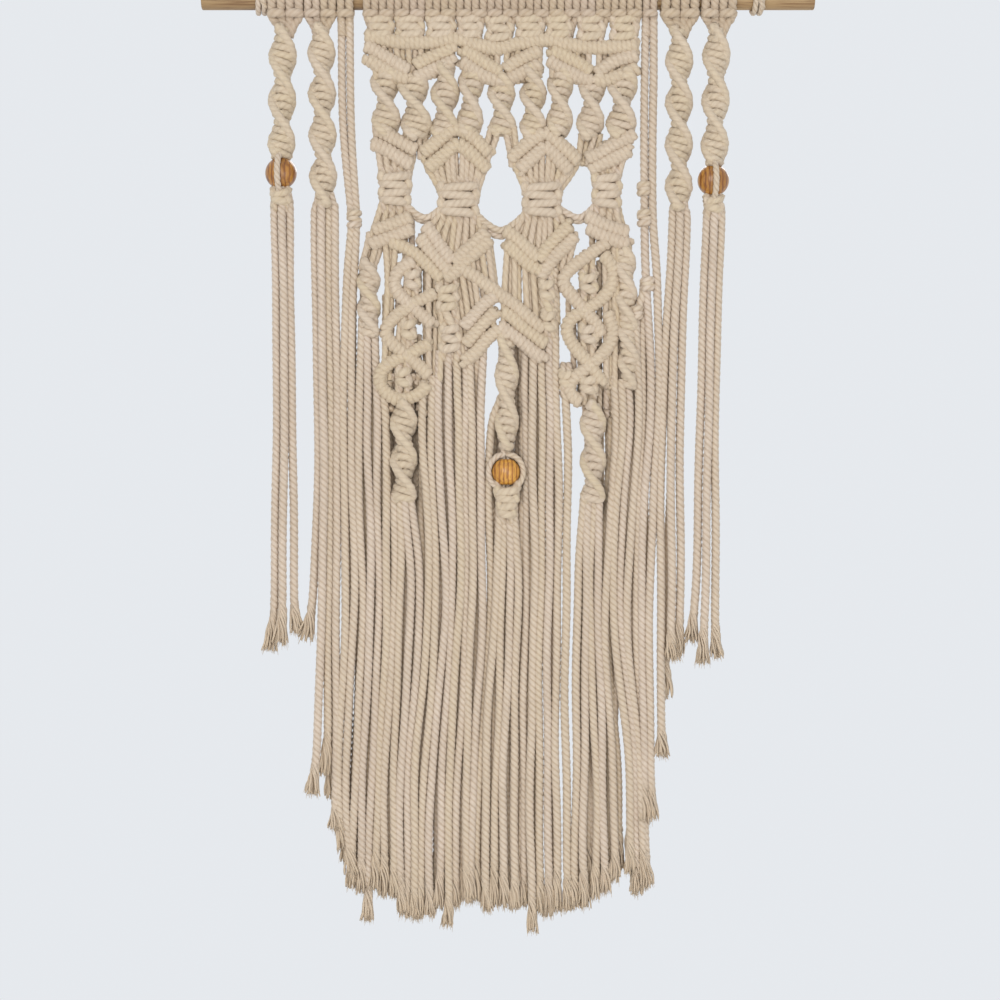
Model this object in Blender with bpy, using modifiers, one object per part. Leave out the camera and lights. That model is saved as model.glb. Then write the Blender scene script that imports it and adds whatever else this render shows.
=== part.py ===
"""Macrame wall hanging on a wooden dowel, with three wooden beads.

The hanging faces -Y and hangs in the XZ plane. The world origin is the highest point of the
hanger cord's centre line. Every table below is in millimetres, measured from the middle of
the dowel's axis: x to the right, z upwards. A cord that touches its neighbours all the way
is one ridge of a web, and a cord that hangs free is a strand of its own.
"""

import math

import bmesh
import bpy
from mathutils import Vector

MM = 0.001

# Finishes: base colour and roughness.
ROPE_COLOUR = (0.70, 0.55, 0.40)
ROPE_ROUGHNESS = 0.95
DOWEL_COLOUR = (0.36, 0.22, 0.13)
DOWEL_ROUGHNESS = 0.55
BEAD_COLOUR = (0.55, 0.24, 0.07)
BEAD_ROUGHNESS = 0.35

# The dowel and the cords that hold it up.
DOWEL_LENGTH = 491.0
DOWEL_RADIUS = 8.5
DOWEL_BEVEL = 0.8
HANGER_RISE = 108.0
HANGER_CORD = 4.6
HANGER_SPACING = 12.0
SMOOTH_STEPS = 12
# The hanger cord's route: side, x, z.
HANGER_ROUTE = (
    (-1, 198, 14.1),
    (-1, 185, 21.0),
    (-1, 160, 33.5),
    (-1, 130, 48.5),
    (-1, 100, 63.5),
    (-1, 75, 75.9),
    (-1, 50, 88.2),
    (-1, 32, 96.9),
    (-1, 20, 102.3),
    (-1, 11, 105.9),
    (-1, 0, 108.0),
    (1, 11, 105.9),
    (1, 20, 102.3),
    (1, 32, 96.9),
    (1, 50, 88.2),
    (1, 75, 75.9),
    (1, 100, 63.5),
    (1, 130, 48.5),
    (1, 160, 33.5),
    (1, 185, 21.0),
    (1, 198, 14.1),
)
HANGER_WRAPS = (
    ("hanger_wrap_left", -198.2),
    ("hanger_wrap_right", 199.0),
)
HANGER_WRAP_WIDTH = 11.4

# The rope and how it lies.
CORD = 5.8
STRAND = 4.9
GAP = 0.3
SLEEVE_SIDES = 8
SLEEVE_WALL = 4.2
SLEEVE_GROOVE = 1.5
PANEL_Y = -5.0
PANEL_KEPT_SHARE = 0.58
SIDE_KEPT_SHARE = 0.9
WEB_DEPTH = 2.9
KNOT_DEPTH = 5.4
FIRST_KNOT_DEPTH = 5.0
PAIR_KNOT_DEPTH = 5.6
BAR_DEPTH = 4.9

# Hitches on the dowel: piece, first x, last x, number of ridges.
SLEEVES = (
    ("panel", -115.6, 107.0, 18),
    ("sinnet_far_left", -192.0, -163.4, 4),
    ("sinnet_near_left", -162.8, -137.2, 4),
    ("pair_left", -136.6, -123.6, 2),
    ("pair_right", 107.6, 119.0, 2),
    ("sinnet_near_right", 122.4, 152.6, 4),
    ("sinnet_far_right", 154.4, 182.4, 4),
)

# Square knots under the hitches: x, width.
FIRST_KNOTS = (
    (-102.6, 24.6),
    (-77.6, 22.8),
    (-52.2, 23.0),
    (-29.8, 20.6),
    (-6.0, 21.4),
    (17.6, 22.4),
    (41.0, 22.4),
    (67.6, 21.4),
    (94.0, 21.6),
)
FIRST_KNOT_TOP = -10.6
FIRST_KNOT_FOOT = -34.0

# Bars of double half hitches: name, rows, ridges on each straight run, centre line as x, z
# points.
BARS = (
    ("wave", 1, 2, ((-115, -31), (-99, -34), (-74, -37), (-45, -32), (-22, -36), (-8, -41),
                     (10, -37), (26, -33), (50, -36), (66, -39), (88, -38), (106, -36))),
    ("v_left", 2, 3, ((-110, -45), (-76, -63), (-44, -45))),
    ("v_middle", 2, 3, ((-39, -46), (-6, -63), (25, -46))),
    ("v_right", 2, 3, ((35, -47), (66, -64), (101, -50))),
    ("roof_a", 2, 3, ((-107, -113), (-77, -132))),
    ("roof_b", 2, 3, ((-68, -131), (-41, -110), (-12, -126))),
    ("roof_c", 2, 3, ((3, -126), (31, -111), (53, -134))),
    ("roof_d", 2, 3, ((98, -120), (72, -136))),
    ("valley_a", 2, 3, ((-78, -177), (-109, -193))),
    ("valley_b", 2, 3, ((-70, -178), (-48, -212), (-16, -192))),
    ("valley_c", 2, 3, ((-3, -194), (25, -214), (52, -188))),
    ("valley_d", 2, 3, ((61, -181), (97, -197))),
    ("long_left", 1, 4, ((-91, -192), (-57, -223))),
    ("gable", 3, 3, ((-38, -277), (-8, -253), (23, -276))),
    ("lattice_left_a", 1, 2, ((-86, -200), (-96, -226), (-78, -245), (-99, -266), (-83, -284),
                              (-103, -304), (-84, -324))),
    ("lattice_left_b", 1, 2, ((-59, -224), (-78, -245), (-61, -266), (-83, -284), (-63, -304),
                              (-84, -324))),
    ("lattice_right_a", 1, 2, ((70, -206), (49, -228), (65, -246), (50, -266), (67, -284),
                               (49, -304), (68, -325))),
    ("lattice_right_b", 1, 2, ((70, -206), (83, -226), (65, -246), (83, -266), (67, -284),
                               (83, -303), (68, -325))),
)
ROW_PITCH = 9.8
# How much of a form is left in the grooves between its ridges, rows and cords.
RIDGE_GROOVE = 0.84
ROW_GROOVE = 0.62
WEB_GROOVE = 0.5

# Knots round many cords: x, top z, foot z, width at the top, width at the foot, ridges.
BINDING_KNOTS = (
    (-91, -141, -166, 29, 25, 3),
    (-41, -149, -175, 37, 34, 3),
    (28, -149, -175, 36, 35, 3),
    (78, -147, -169, 25, 22, 3),
    (-76, -217, -235, 14, 14, 1),
    (-80, -258, -276, 14, 14, 1),
    (-84, -296, -313, 14, 14, 1),
    (64, -219, -236, 12, 12, 1),
    (67, -259, -275, 13, 13, 1),
    (67, -296, -312, 13, 13, 1),
    (-85.4, -390, -405, 20, 22, 1),
    (68.6, -388.4, -406, 22, 26, 1),
    (-1, -393, -417, 24, 24, 3),
)

# Sinnets, each a column of knots: x at the top, x at the foot, top z, foot z,
# width at a knot, width at a neck, knots, quarter turns of twist.
PANEL_SINNETS = (
    (-98, -99, -57, -119, 20.0, 14, 2, 0),
    (-77, -76, -66, -130, 19.4, 12, 2, 0),
    (-52, -51, -55, -119, 19.0, 12, 2, 0),
    (-30, -30, -56, -122, 16.6, 13, 2, 0),
    (-6, -5, -66, -117, 19.0, 12, 2, 0),
    (18, 18, -58, -122, 18.6, 12, 2, 0),
    (40, 40, -57, -122, 18.0, 12, 2, 0),
    (65, 64, -68, -126, 18.0, 11, 2, 0),
    (91, 91, -60, -124, 20.0, 13, 2, 0),
    (-48, -46, -214, -287, 20, 17, 4, 0),
    (30, 29, -212, -270, 17, 13, 3, 0),
    (95, 97, -196, -312, 20, 15, 5, 0),
    (-112, -111, -213, -269, 18, 14, 3, 2),
    (-83.5, -83.5, -322, -403, 23, 15, 3, 3),
    (-1, -1, -262, -361, 20, 14, 3, 3),
    (68, 68, -323, -404, 22, 15, 3, 3),
)

# Webs of cords that lie side by side: cords, upper edge as x, z points, lower edge as x, z
# points.
WEBS = (
    (3, ((-112, -34), (-75, -39)), ((-109, -46), (-75, -64))),
    (3, ((-77, -39), (-44, -35)), ((-77, -64), (-44, -47))),
    (3, ((-38, -36), (-5, -43)), ((-38, -48), (-5, -65))),
    (3, ((-7, -43), (25, -37)), ((-7, -65), (24, -48))),
    (3, ((35, -37), (67, -41)), ((36, -49), (67, -66))),
    (3, ((65, -41), (103, -39)), ((65, -66), (99, -50))),
    (6, ((-106, -116), (-78, -134)), ((-103, -146), (-79, -146))),
    (4, ((-62, -132), (-41, -113)), ((-57, -153), (-41, -153))),
    (4, ((-42, -113), (-19, -132)), ((-42, -153), (-25, -153))),
    (4, ((13, -134), (31, -114)), ((12, -153), (31, -153))),
    (4, ((30, -114), (46, -134)), ((30, -153), (44, -153))),
    (5, ((75, -138), (96, -123)), ((68, -151), (88, -151))),
    (6, ((-101, -163), (-79, -163)), ((-107, -190), (-78, -174))),
    (5, ((-57, -172), (-44, -172)), ((-64, -184), (-46, -208))),
    (5, ((-45, -172), (-25, -172)), ((-47, -208), (-22, -195))),
    (4, ((12, -172), (27, -172)), ((3, -197), (26, -211))),
    (4, ((26, -172), (44, -172)), ((25, -211), (47, -191))),
    (5, ((69, -166), (87, -166)), ((66, -182), (93, -193))),
    (5, ((-113, -192), (-93, -186)), ((-120, -219), (-104, -219))),
    (3, ((-102, -188), (-88, -192)), ((-102, -222), (-93, -222))),
    (6, ((-46, -214), (-16, -194)), ((-36, -272), (-9, -243))),
    (5, ((-4, -196), (22, -214)), ((-6, -243), (20, -270))),
    (4, ((60, -184), (80, -190)), ((66, -208), (86, -222))),
    (3, ((76, -190), (92, -196)), ((84, -262), (93, -262))),
    (5, ((-84, -198), (-58, -212)), ((-88, -322), (-66, -302))),
    (5, ((58, -206), (84, -206)), ((55, -306), (86, -306))),
    (1, ((-101, -222), (-95, -222)), ((-103, -306), (-97, -306))),
)

# Cords that cross between the binding knots: thickness, x, z points.
LINKS = (
    (9.0, ((-27, -170), (-6, -185), (14, -170))),
    (8.5, ((-83, -161), (-66, -175), (-54, -168))),
    (8.5, ((41, -169), (56, -175), (71, -163))),
)

# Free strands of the panel: x of the first and last root, x of the first and last end,
# depth, z of the roots, z of each end.
FRINGE = (
    (-119.2, -107.2, -116.0, -103.2, -5.0, -264, (-709, -711, -734)),
    (-101.0, -101.0, -97.6, -97.6, -5.0, -306, (-711,)),
    (-91.2, -79.6, -91.6, -79.0, -5.0, -399, (-716, -717, -730)),
    (-66.6, -66.6, -72.6, -72.6, -5.0, -306, (-733,)),
    (-60.4, -60.4, -66.4, -66.4, -5.0, -302, (-735,)),
    (-54.4, -41.4, -60.0, -46.4, -5.0, -281, (-734, -733, -727)),
    (-35.0, -23.0, -39.6, -27.0, -5.0, -272, (-740, -725, -721)),
    (-16.8, -16.8, -20.6, -20.6, -0.2, -262, (-720,)),
    (-10.6, 7.8, -10.8, 7.8, -5.0, -411, (-728, -726, -725, -728)),
    (14.4, 14.4, 14.2, 14.2, -0.2, -268, (-726,)),
    (20.6, 20.6, 20.4, 20.4, -5.0, -270, (-745,)),
    (26.8, 33.0, 27.2, 33.4, -5.0, -264, (-732, -733)),
    (39.4, 39.4, 39.6, 39.6, -5.0, -200, (-730,)),
    (45.6, 45.6, 46.0, 46.0, -5.0, -303, (-729,)),
    (57.6, 78.4, 54.2, 76.6, -5.0, -400, (-728, -725, -719, -713, -704)),
    (83.8, 83.8, 81.9, 81.9, -5.0, -302, (-699,)),
    (89.4, 105.0, 87.6, 103.4, -5.0, -305, (-695, -715, -710, -708)),
)
# Their lean to each side: reach, length, lag.
STRAND_WAVES = ((1.1, 95.0, 0.4), (0.7, 41.0, 1.9))
STRAND_STOPS = 5

# The middle bead sits between four cords that part round it.
BEAD_MIDDLE = (-1.6, -379.2, 11.2)

# The four sinnets beside the panel start with a flat knot.
SIDE_KNOT_HEIGHT = 12.0
# Their columns: x at the top, x at the foot, foot z, width at a knot, width at a neck, knots.
SIDE_SINNETS = {
    "sinnet_far_left": (-180.0, -181.4, -128, 22, 15, 3),
    "sinnet_near_left": (-149.6, -147.6, -163, 21, 15, 4),
    "sinnet_near_right": (137.0, 136.4, -167, 23, 15, 4),
    "sinnet_far_right": (167.0, 165.0, -133, 22, 15, 3),
}

# Beads of the two outer sinnets: piece, x, z, radius, x of the cord in front.
SIDE_BEADS = (
    ("sinnet_far_left", "bead_left", -181.6, -140.2, 12.6, -183.4),
    ("sinnet_far_right", "bead_right", 164.2, -146.0, 12.6, 165.4),
)
BEAD_BORE = 4.4
BEAD_CORE = 2.7
BEAD_KNOT_WIDTH = 17.0
BEAD_KNOT_HEIGHT = 10.0

# Hanging cords of the four sinnets: piece, x, z of the root, x half way, x of the end,
# z of the end, depth.
SIDE_STRANDS = (
    ("sinnet_far_left", -187.0, -156, -188.0, -190.2, -520, -5.0),
    ("sinnet_far_left", -181.2, -156, -181.0, -181.4, -522, -5.0),
    ("sinnet_far_left", -175.4, -156, -174.6, -173.6, -507, -5.0),
    ("sinnet_near_left", -156.6, -160, -156.4, -161.4, -512, -5.0),
    ("sinnet_near_left", -150.6, -160, -150.4, -158.6, -635, -11.2),
    ("sinnet_near_left", -145.2, -160, -145.6, -146.2, -620, -5.0),
    ("sinnet_near_left", -139.6, -160, -140.0, -139.4, -665, -5.0),
    ("sinnet_near_right", 128.4, -164, 124.0, 123.4, -606, -5.0),
    ("sinnet_near_right", 134.6, -164, 130.2, 129.6, -528, -5.0),
    ("sinnet_near_right", 141.0, -164, 136.6, 136.8, -524, -5.0),
    ("sinnet_far_right", 158.4, -164, 149.0, 146.4, -514, -5.0),
    ("sinnet_far_right", 164.4, -164, 155.2, 155.0, -531, -5.0),
    ("sinnet_far_right", 170.2, -164, 161.6, 166.6, -526, -5.0),
)

# Plain pairs of cords: piece, knots as x, z, width, height.
PAIR_KNOTS = {
    "pair_left": ((-123.0, -177.0, 12.0, 15.0),),
    "pair_right": ((108.6, -152.6, 11.0, 12.0), (109.2, -176.0, 12.0, 14.0),
                   (111.6, -229.0, 12.0, 12.0)),
}
# Their cords, as x, z points from the dowel down.
PAIR_STRANDS = {
    "pair_left": (((-133.2, -10.8), (-132.0, -100), (-125.4, -172)),
                  ((-126.6, -10.8), (-125.6, -100), (-121.4, -172)),
                  ((-124.8, -180), (-132.2, -250), (-134.0, -354), (-131.6, -480),
                   (-131.4, -679)),
                  ((-121.4, -180), (-126.6, -242), (-128.0, -354), (-125.8, -480),
                   (-125.4, -699))),
    "pair_right": (((110.2, -10.8), (108.9, -100), (109.2, -178)),
                   ((116.4, -10.8), (115.4, -100), (115.2, -200), (113.6, -229)),
                   ((109.2, -174), (109.8, -229), (111.4, -300), (111.6, -480), (111.4, -659)),
                   ((113.4, -227), (117.2, -300), (117.6, -480), (117.4, -656))),
}


# ---------------------------------------------------------------- building helpers

def link(name, mesh, colour, roughness, collection):
    """Add a mesh object with a material of its own."""
    material = bpy.data.materials.new(name + "_finish")
    material.use_nodes = True
    shader = material.node_tree.nodes["Principled BSDF"]
    shader.inputs["Base Color"].default_value = (*colour, 1.0)
    shader.inputs["Roughness"].default_value = roughness
    shader.inputs["Metallic"].default_value = 0.0
    mesh.materials.clear()
    mesh.materials.append(material)
    piece = bpy.data.objects.new(name, mesh)
    collection.objects.link(piece)
    return piece


def lofted(rings):
    """A closed mesh through a row of rings that have equal numbers of points."""
    mesh = bmesh.new()
    rows = [[mesh.verts.new(Vector(point) * MM) for point in ring] for ring in rings]
    count = len(rows[0])
    for upper, lower in zip(rows, rows[1:]):
        for index in range(count):
            after = (index + 1) % count
            mesh.faces.new((upper[index], upper[after], lower[after], lower[index]))
    mesh.faces.new(rows[0])
    mesh.faces.new(list(reversed(rows[-1])))
    bmesh.ops.recalc_face_normals(mesh, faces=mesh.faces)
    bmesh.ops.triangulate(mesh, faces=mesh.faces)
    result = bpy.data.meshes.new("loft")
    mesh.to_mesh(result)
    mesh.free()
    return result


def tube(points, thickness, resolution=0):
    """A cord as a mesh: a curve with a round bevel and welded caps."""
    curve = bpy.data.curves.new("cord", "CURVE")
    curve.dimensions = "3D"
    curve.bevel_depth = thickness * MM / 2
    curve.bevel_resolution = resolution
    curve.use_fill_caps = True
    spline = curve.splines.new("POLY")
    spline.points.add(len(points) - 1)
    for place, point in zip(spline.points, points):
        place.co = (*(Vector(point) * MM), 1.0)
    guide = bpy.data.objects.new("cord", curve)
    bpy.context.scene.collection.objects.link(guide)
    graph = bpy.context.evaluated_depsgraph_get()
    result = bpy.data.meshes.new_from_object(guide.evaluated_get(graph))
    bpy.data.objects.remove(guide)
    weld(result)
    return result


def weld(mesh):
    """Close a curve's loose caps."""
    work = bmesh.new()
    work.from_mesh(mesh)
    bmesh.ops.remove_doubles(work, verts=work.verts, dist=0.00001)
    bmesh.ops.recalc_face_normals(work, faces=work.faces)
    work.to_mesh(mesh)
    work.free()


def along(points, share):
    """The point at a share of a line's length, and the line's direction there."""
    lengths = [math.dist(a, b) for a, b in zip(points, points[1:])]
    goal = share * sum(lengths)
    for start, end, length in zip(points, points[1:], lengths):
        if goal <= length or end is points[-1]:
            part = min(goal / length, 1.0)
            place = [a + (b - a) * part for a, b in zip(start, end)]
            return place, [(b - a) / length for a, b in zip(start, end)]
        goal -= length
    return None


def fused(name, solids, kept_share, collection, cutters):
    """One body of rope from many overlapping solids, by a Boolean union."""
    base = link(name, solids[0], ROPE_COLOUR, ROPE_ROUGHNESS, collection)
    for index, solid in enumerate(solids[1:]):
        helper = bpy.data.objects.new(name + "_piece_" + str(index), solid)
        helper.hide_render = True
        helper.display_type = "WIRE"
        cutters.objects.link(helper)
    union = base.modifiers.new("Union", "BOOLEAN")
    union.operation = "UNION"
    union.operand_type = "COLLECTION"
    union.collection = cutters
    union.solver = "EXACT"
    thinner = base.modifiers.new("Fewer slivers", "DECIMATE")
    thinner.ratio = kept_share
    thinner.use_collapse_triangulate = True
    graph = bpy.context.evaluated_depsgraph_get()
    result = bpy.data.meshes.new_from_object(base.evaluated_get(graph))
    base.modifiers.clear()
    base.data = result
    for helper in list(cutters.objects):
        bpy.data.objects.remove(helper)
    return base


# ---------------------------------------------------------------- forms of rope

def sleeve(first, last, cords):
    """Hitches round the dowel, one ridge for each cord, as a ring with a bore."""
    inner = (DOWEL_RADIUS + GAP) / math.cos(math.pi / SLEEVE_SIDES)
    crest = DOWEL_RADIUS + GAP + SLEEVE_WALL
    groove = crest - SLEEVE_GROOVE
    stops = [(first, inner), (first, groove)]
    for index in range(cords):
        middle = first + (index + 0.5) / cords * (last - first)
        after = first + (index + 1) / cords * (last - first)
        stops += [(middle, crest), (after, groove)]
    stops += [(last, inner)]
    mesh = bmesh.new()
    rows = []
    for x, radius in stops:
        row = []
        for side in range(SLEEVE_SIDES):
            turn = math.tau * (side + 0.5) / SLEEVE_SIDES
            row.append(mesh.verts.new((x * MM, math.cos(turn) * radius * MM,
                                       math.sin(turn) * radius * MM)))
        rows.append(row)
    for upper, lower in zip(rows, rows[1:] + rows[:1]):
        for side in range(SLEEVE_SIDES):
            after = (side + 1) % SLEEVE_SIDES
            mesh.faces.new((upper[side], upper[after], lower[after], lower[side]))
    bmesh.ops.recalc_face_normals(mesh, faces=mesh.faces)
    result = bpy.data.meshes.new("sleeve")
    mesh.to_mesh(result)
    mesh.free()
    return result


def mitres(points):
    """The direction across a bar at each point of its centre line, longer at a corner."""
    runs = []
    for start, end in zip(points, points[1:]):
        length = math.dist(start, end)
        runs.append(Vector(((end[1] - start[1]) / length, -(end[0] - start[0]) / length)))
    corners = [(a + b) / (1.0 + a.dot(b)) for a, b in zip(runs, runs[1:])]
    return [runs[0]] + corners + [runs[-1]]


def stations(points, ridges):
    """Places along a bar, two for each ridge, with the direction across it at each."""
    across = mitres(points)
    stops = []
    for index, (start, end) in enumerate(zip(points, points[1:])):
        for step in range(2 * ridges):
            share = step / (2 * ridges)
            stops.append((start[0] + (end[0] - start[0]) * share,
                          start[1] + (end[1] - start[1]) * share,
                          across[index].lerp(across[index + 1], share)))
    stops.append((*points[-1], across[-1]))
    return stops


def bar(rows, ridges, points):
    """A bar of hitches: a ridge across it for each hitch and a groove between its rows."""
    half = rows * ROW_PITCH / 2
    face = []
    for row in range(rows):
        face.append((-half + (row + 0.5) * ROW_PITCH, -1.0))
        if row + 1 < rows:
            face.append((-half + (row + 1) * ROW_PITCH, -ROW_GROOVE))
    outline = [(-half, 0.0)] + face + [(half, 0.0), (half * 0.5, 1.0), (-half * 0.5, 1.0)]
    rings = []
    for step, (x, z, across) in enumerate(stations(points, ridges)):
        swell = 1.0 if step % 2 else RIDGE_GROOVE
        rings.append([(x + across[0] * u * swell, PANEL_Y + v * BAR_DEPTH * swell,
                       z + across[1] * u * swell) for u, v in outline])
    return lofted(rings)


def knot(x, top, foot, top_width, foot_width, ridges, depth=KNOT_DEPTH):
    """A knot with level ridges, round in plan."""
    rings = []
    steps = 2 * ridges
    for step in range(steps + 1):
        share = step / steps
        half = (top_width + (foot_width - top_width) * share) / 2
        swell = 1.0 if step % 2 else RIDGE_GROOVE
        z = top + (foot - top) * share
        rings.append(plan(x, z, half * swell, depth * swell, 0.0))
    return lofted(rings)


def plan(x, z, half_width, half_depth, turn):
    """A six-sided ring, turned about its own middle."""
    ring = []
    for corner in range(6):
        angle = math.tau * (corner + 0.5) / 6
        u = half_width * math.cos(angle) / math.cos(math.pi / 6)
        v = half_depth * math.sin(angle)
        ring.append((x + u * math.cos(turn) - v * math.sin(turn),
                     PANEL_Y + u * math.sin(turn) + v * math.cos(turn), z))
    return ring


def sinnet(x_top, x_foot, top, foot, width, neck, knots, quarters):
    """A column of knots with necks between them, twisted where the knots are half knots."""
    levels = ((0.0, 0.80), (0.25, 1.0), (0.75, 1.0))
    rings = []
    for index in range(knots):
        for part, swell in levels:
            share = (index + part) / knots
            half = width / 2 * swell if part else neck / 2
            rings.append((share, half))
    rings.append((1.0, neck / 2))
    sections = []
    for share, half in rings:
        turn = quarters * math.pi / 2 * share
        sections.append(plan(x_top + (x_foot - x_top) * share, top + (foot - top) * share,
                             half, KNOT_DEPTH * (half * 2 / width + 0.35) / 1.35, turn))
    return lofted(sections)


def web(cords, upper, lower):
    """Cords side by side as one plate with a ridge for each, on both faces."""
    rings = []
    for edge in (upper, lower):
        front = []
        back = []
        for step in range(2 * cords + 1):
            place, way = along(edge, step / (2 * cords))
            depth = WEB_DEPTH if step % 2 else WEB_DEPTH * WEB_GROOVE
            front.append((place[0], PANEL_Y - depth, place[1]))
            back.append((place[0], PANEL_Y + depth, place[1]))
        rings.append(front + back[::-cords] if cords > 1 else front + back[::-1])
    return lofted(rings)


def strand(points, y=PANEL_Y, thickness=STRAND):
    """A free cord with four sides and a ridge down its front."""
    return tube([(x, y, z) for x, z in points], thickness)


def sway(x, z):
    """How far a hanging strand leans to one side at a height."""
    return sum(size * math.sin(z / length + lag + x / 160.0)
               for size, length, lag in STRAND_WAVES)


def hanging(x_root, x_end, root, end):
    """Points down a panel strand, which drifts a little from side to side."""
    points = []
    for stop in range(STRAND_STOPS):
        share = stop / (STRAND_STOPS - 1)
        z = root + (end - root) * share
        x = x_root + (x_end - x_root) * share
        points.append((x + sway(x, z) * min(1.0, share * 3.0), z))
    return points


def smooth(points, spacing):
    """Points at even steps on a smooth curve through a route's own points."""
    ends = [2 * points[0] - points[1]] + points + [2 * points[-1] - points[-2]]
    dense = []
    for a, b, c, d in zip(ends, ends[1:], ends[2:], ends[3:]):
        for step in range(SMOOTH_STEPS):
            t = step / SMOOTH_STEPS
            dense.append(0.5 * (2 * b + (c - a) * t + (2 * a - 5 * b + 4 * c - d) * t ** 2
                                + (3 * b - a - 3 * c + d) * t ** 3))
    dense.append(points[-1])
    length = sum((b - a).length for a, b in zip(dense, dense[1:]))
    count = round(length / spacing)
    return [Vector(along(dense, step / count)[0]) for step in range(count + 1)]


# ---------------------------------------------------------------- pieces

def make_dowel(collection):
    """The dowel, with eased ends."""
    bpy.ops.mesh.primitive_cylinder_add(vertices=28, radius=DOWEL_RADIUS * MM,
                                        depth=DOWEL_LENGTH * MM,
                                        rotation=(0.0, math.pi / 2, 0.0))
    made = bpy.context.object
    bpy.ops.object.transform_apply(location=False, rotation=True, scale=False)
    mesh = made.data
    bpy.data.objects.remove(made)
    dowel = link("dowel", mesh, DOWEL_COLOUR, DOWEL_ROUGHNESS, collection)
    bevel = dowel.modifiers.new("Bevel", "BEVEL")
    bevel.width = DOWEL_BEVEL * MM
    bevel.segments = 1
    bevel.limit_method = "ANGLE"
    return dowel


def make_hanger(collection):
    """The taut hanger cord, from wrap to wrap over its highest point."""
    route = [Vector((side * x, 0.0, z)) for side, x, z in HANGER_ROUTE]
    points = smooth(route, HANGER_SPACING)
    mesh = tube(points, HANGER_CORD, 2)
    link("hanger", mesh, ROPE_COLOUR, ROPE_ROUGHNESS, collection)


def make_wrap(name, x, collection):
    """Two turns of the hanger cord round the dowel."""
    half = HANGER_WRAP_WIDTH / 2
    mesh = sleeve(x - half, x + half, 2)
    link(name, mesh, ROPE_COLOUR, ROPE_ROUGHNESS, collection)


def make_bead(name, x, z, radius, collection):
    """A round bead with a bore down it."""
    profile = []
    edge = math.asin(BEAD_BORE / radius)
    steps = 9
    for step in range(steps + 1):
        angle = edge + (math.pi - 2 * edge) * step / steps
        profile.append((math.sin(angle) * radius, math.cos(angle) * radius))
    mesh = bpy.data.meshes.new(name)
    points = [Vector((u, 0.0, v)) * MM for u, v in profile]
    edges = [(index, (index + 1) % len(points)) for index in range(len(points))]
    mesh.from_pydata(points, edges, [])
    bead = link(name, mesh, BEAD_COLOUR, BEAD_ROUGHNESS, collection)
    bead.location = Vector((x, PANEL_Y, z)) * MM
    turned = bead.modifiers.new("Screw", "SCREW")
    turned.steps = 16
    turned.render_steps = 16
    turned.use_merge_vertices = True
    turned.merge_threshold = 0.00001
    turned.use_normal_calculate = True
    return bead


def bead_core(x, z, radius):
    """The cords inside a bead, pressed into its bore."""
    reach = radius + BEAD_CORE * 2
    return tube([(x, PANEL_Y, z + reach), (x, PANEL_Y, z - reach)], BEAD_CORE * 2)


def cord_in_front(x, z, radius, lane):
    """One cord that goes over a bead's face."""
    points = []
    clear = radius + CORD / 2 + GAP
    for step in range(7):
        angle = math.pi * (0.06 + 0.88 * step / 6)
        points.append((lane, PANEL_Y - math.sin(angle) * clear, z + math.cos(angle) * clear))
    return tube(points, STRAND)


def cord_round_bead(side):
    """One cord that bows out beside the middle bead, from the sinnet to the knot below."""
    x, z, radius = BEAD_MIDDLE
    clear = radius + CORD / 2 + GAP
    points = []
    for step in range(9):
        angle = math.pi * (0.02 + 0.96 * step / 8)
        points.append((x + side * math.sin(angle) * clear, PANEL_Y,
                       z + math.cos(angle) * (clear + 3.0)))
    return tube(points, STRAND)


def make_panel(collection, cutters):
    """The knotted panel with its own fringe, one network of cords."""
    piece, first, last, cords = SLEEVES[0]
    solids = [sleeve(first, last, cords)]
    for x, width in FIRST_KNOTS:
        solids.append(knot(x, FIRST_KNOT_TOP, FIRST_KNOT_FOOT, width, width, 2,
                           FIRST_KNOT_DEPTH))
    for _, rows, ridges, points in BARS:
        solids.append(bar(rows, ridges, points))
    for row in BINDING_KNOTS:
        solids.append(knot(*row))
    for row in PANEL_SINNETS:
        solids.append(sinnet(*row))
    for cords, upper, lower in WEBS:
        solids.append(web(cords, upper, lower))
    for thickness, points in LINKS:
        solids.append(strand(points, thickness=thickness))
    x, z, radius = BEAD_MIDDLE
    solids.append(bead_core(x, z, radius))
    for side in (-1, 1):
        solids.append(cord_round_bead(side))
    for first, last, first_end, last_end, y, root, ends in FRINGE:
        for index, end in enumerate(ends):
            share = index / max(1, len(ends) - 1)
            x_root = first + (last - first) * share
            x_end = first_end + (last_end - first_end) * share
            solids.append(strand(hanging(x_root, x_end, root, end), y))
    return fused(piece, solids, PANEL_KEPT_SHARE, collection, cutters)


def make_side_sinnet(place, collection, cutters):
    """A sinnet beside the panel, from its hitches to its hanging cords."""
    piece, first, last, cords = place
    x_top, x_foot, foot, width, neck, knots = SIDE_SINNETS[piece]
    top = FIRST_KNOT_TOP
    solids = [sleeve(first, last, cords)]
    solids.append(knot(x_top, top, top - SIDE_KNOT_HEIGHT, last - first - STRAND, width, 1,
                       FIRST_KNOT_DEPTH))
    solids.append(sinnet(x_top, x_foot, top - SIDE_KNOT_HEIGHT / 2, foot, width, neck, knots,
                         knots))
    for owner, bead, x, z, radius, lane in SIDE_BEADS:
        if owner == piece:
            solids.append(bead_core(x, z, radius))
            solids.append(cord_in_front(x, z, radius, lane))
            low = z - math.sqrt(radius ** 2 - BEAD_BORE ** 2) - GAP
            solids.append(knot(x, low, low - BEAD_KNOT_HEIGHT, BEAD_KNOT_WIDTH,
                               BEAD_KNOT_WIDTH, 1))
    for owner, x, root, x_mid, x_end, end, y in SIDE_STRANDS:
        if owner == piece:
            middle = (x_mid, (root + end) / 2)
            solids.append(strand(((x, root), middle, (x_end, end)), y))
    return fused(piece, solids, SIDE_KEPT_SHARE, collection, cutters)


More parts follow.
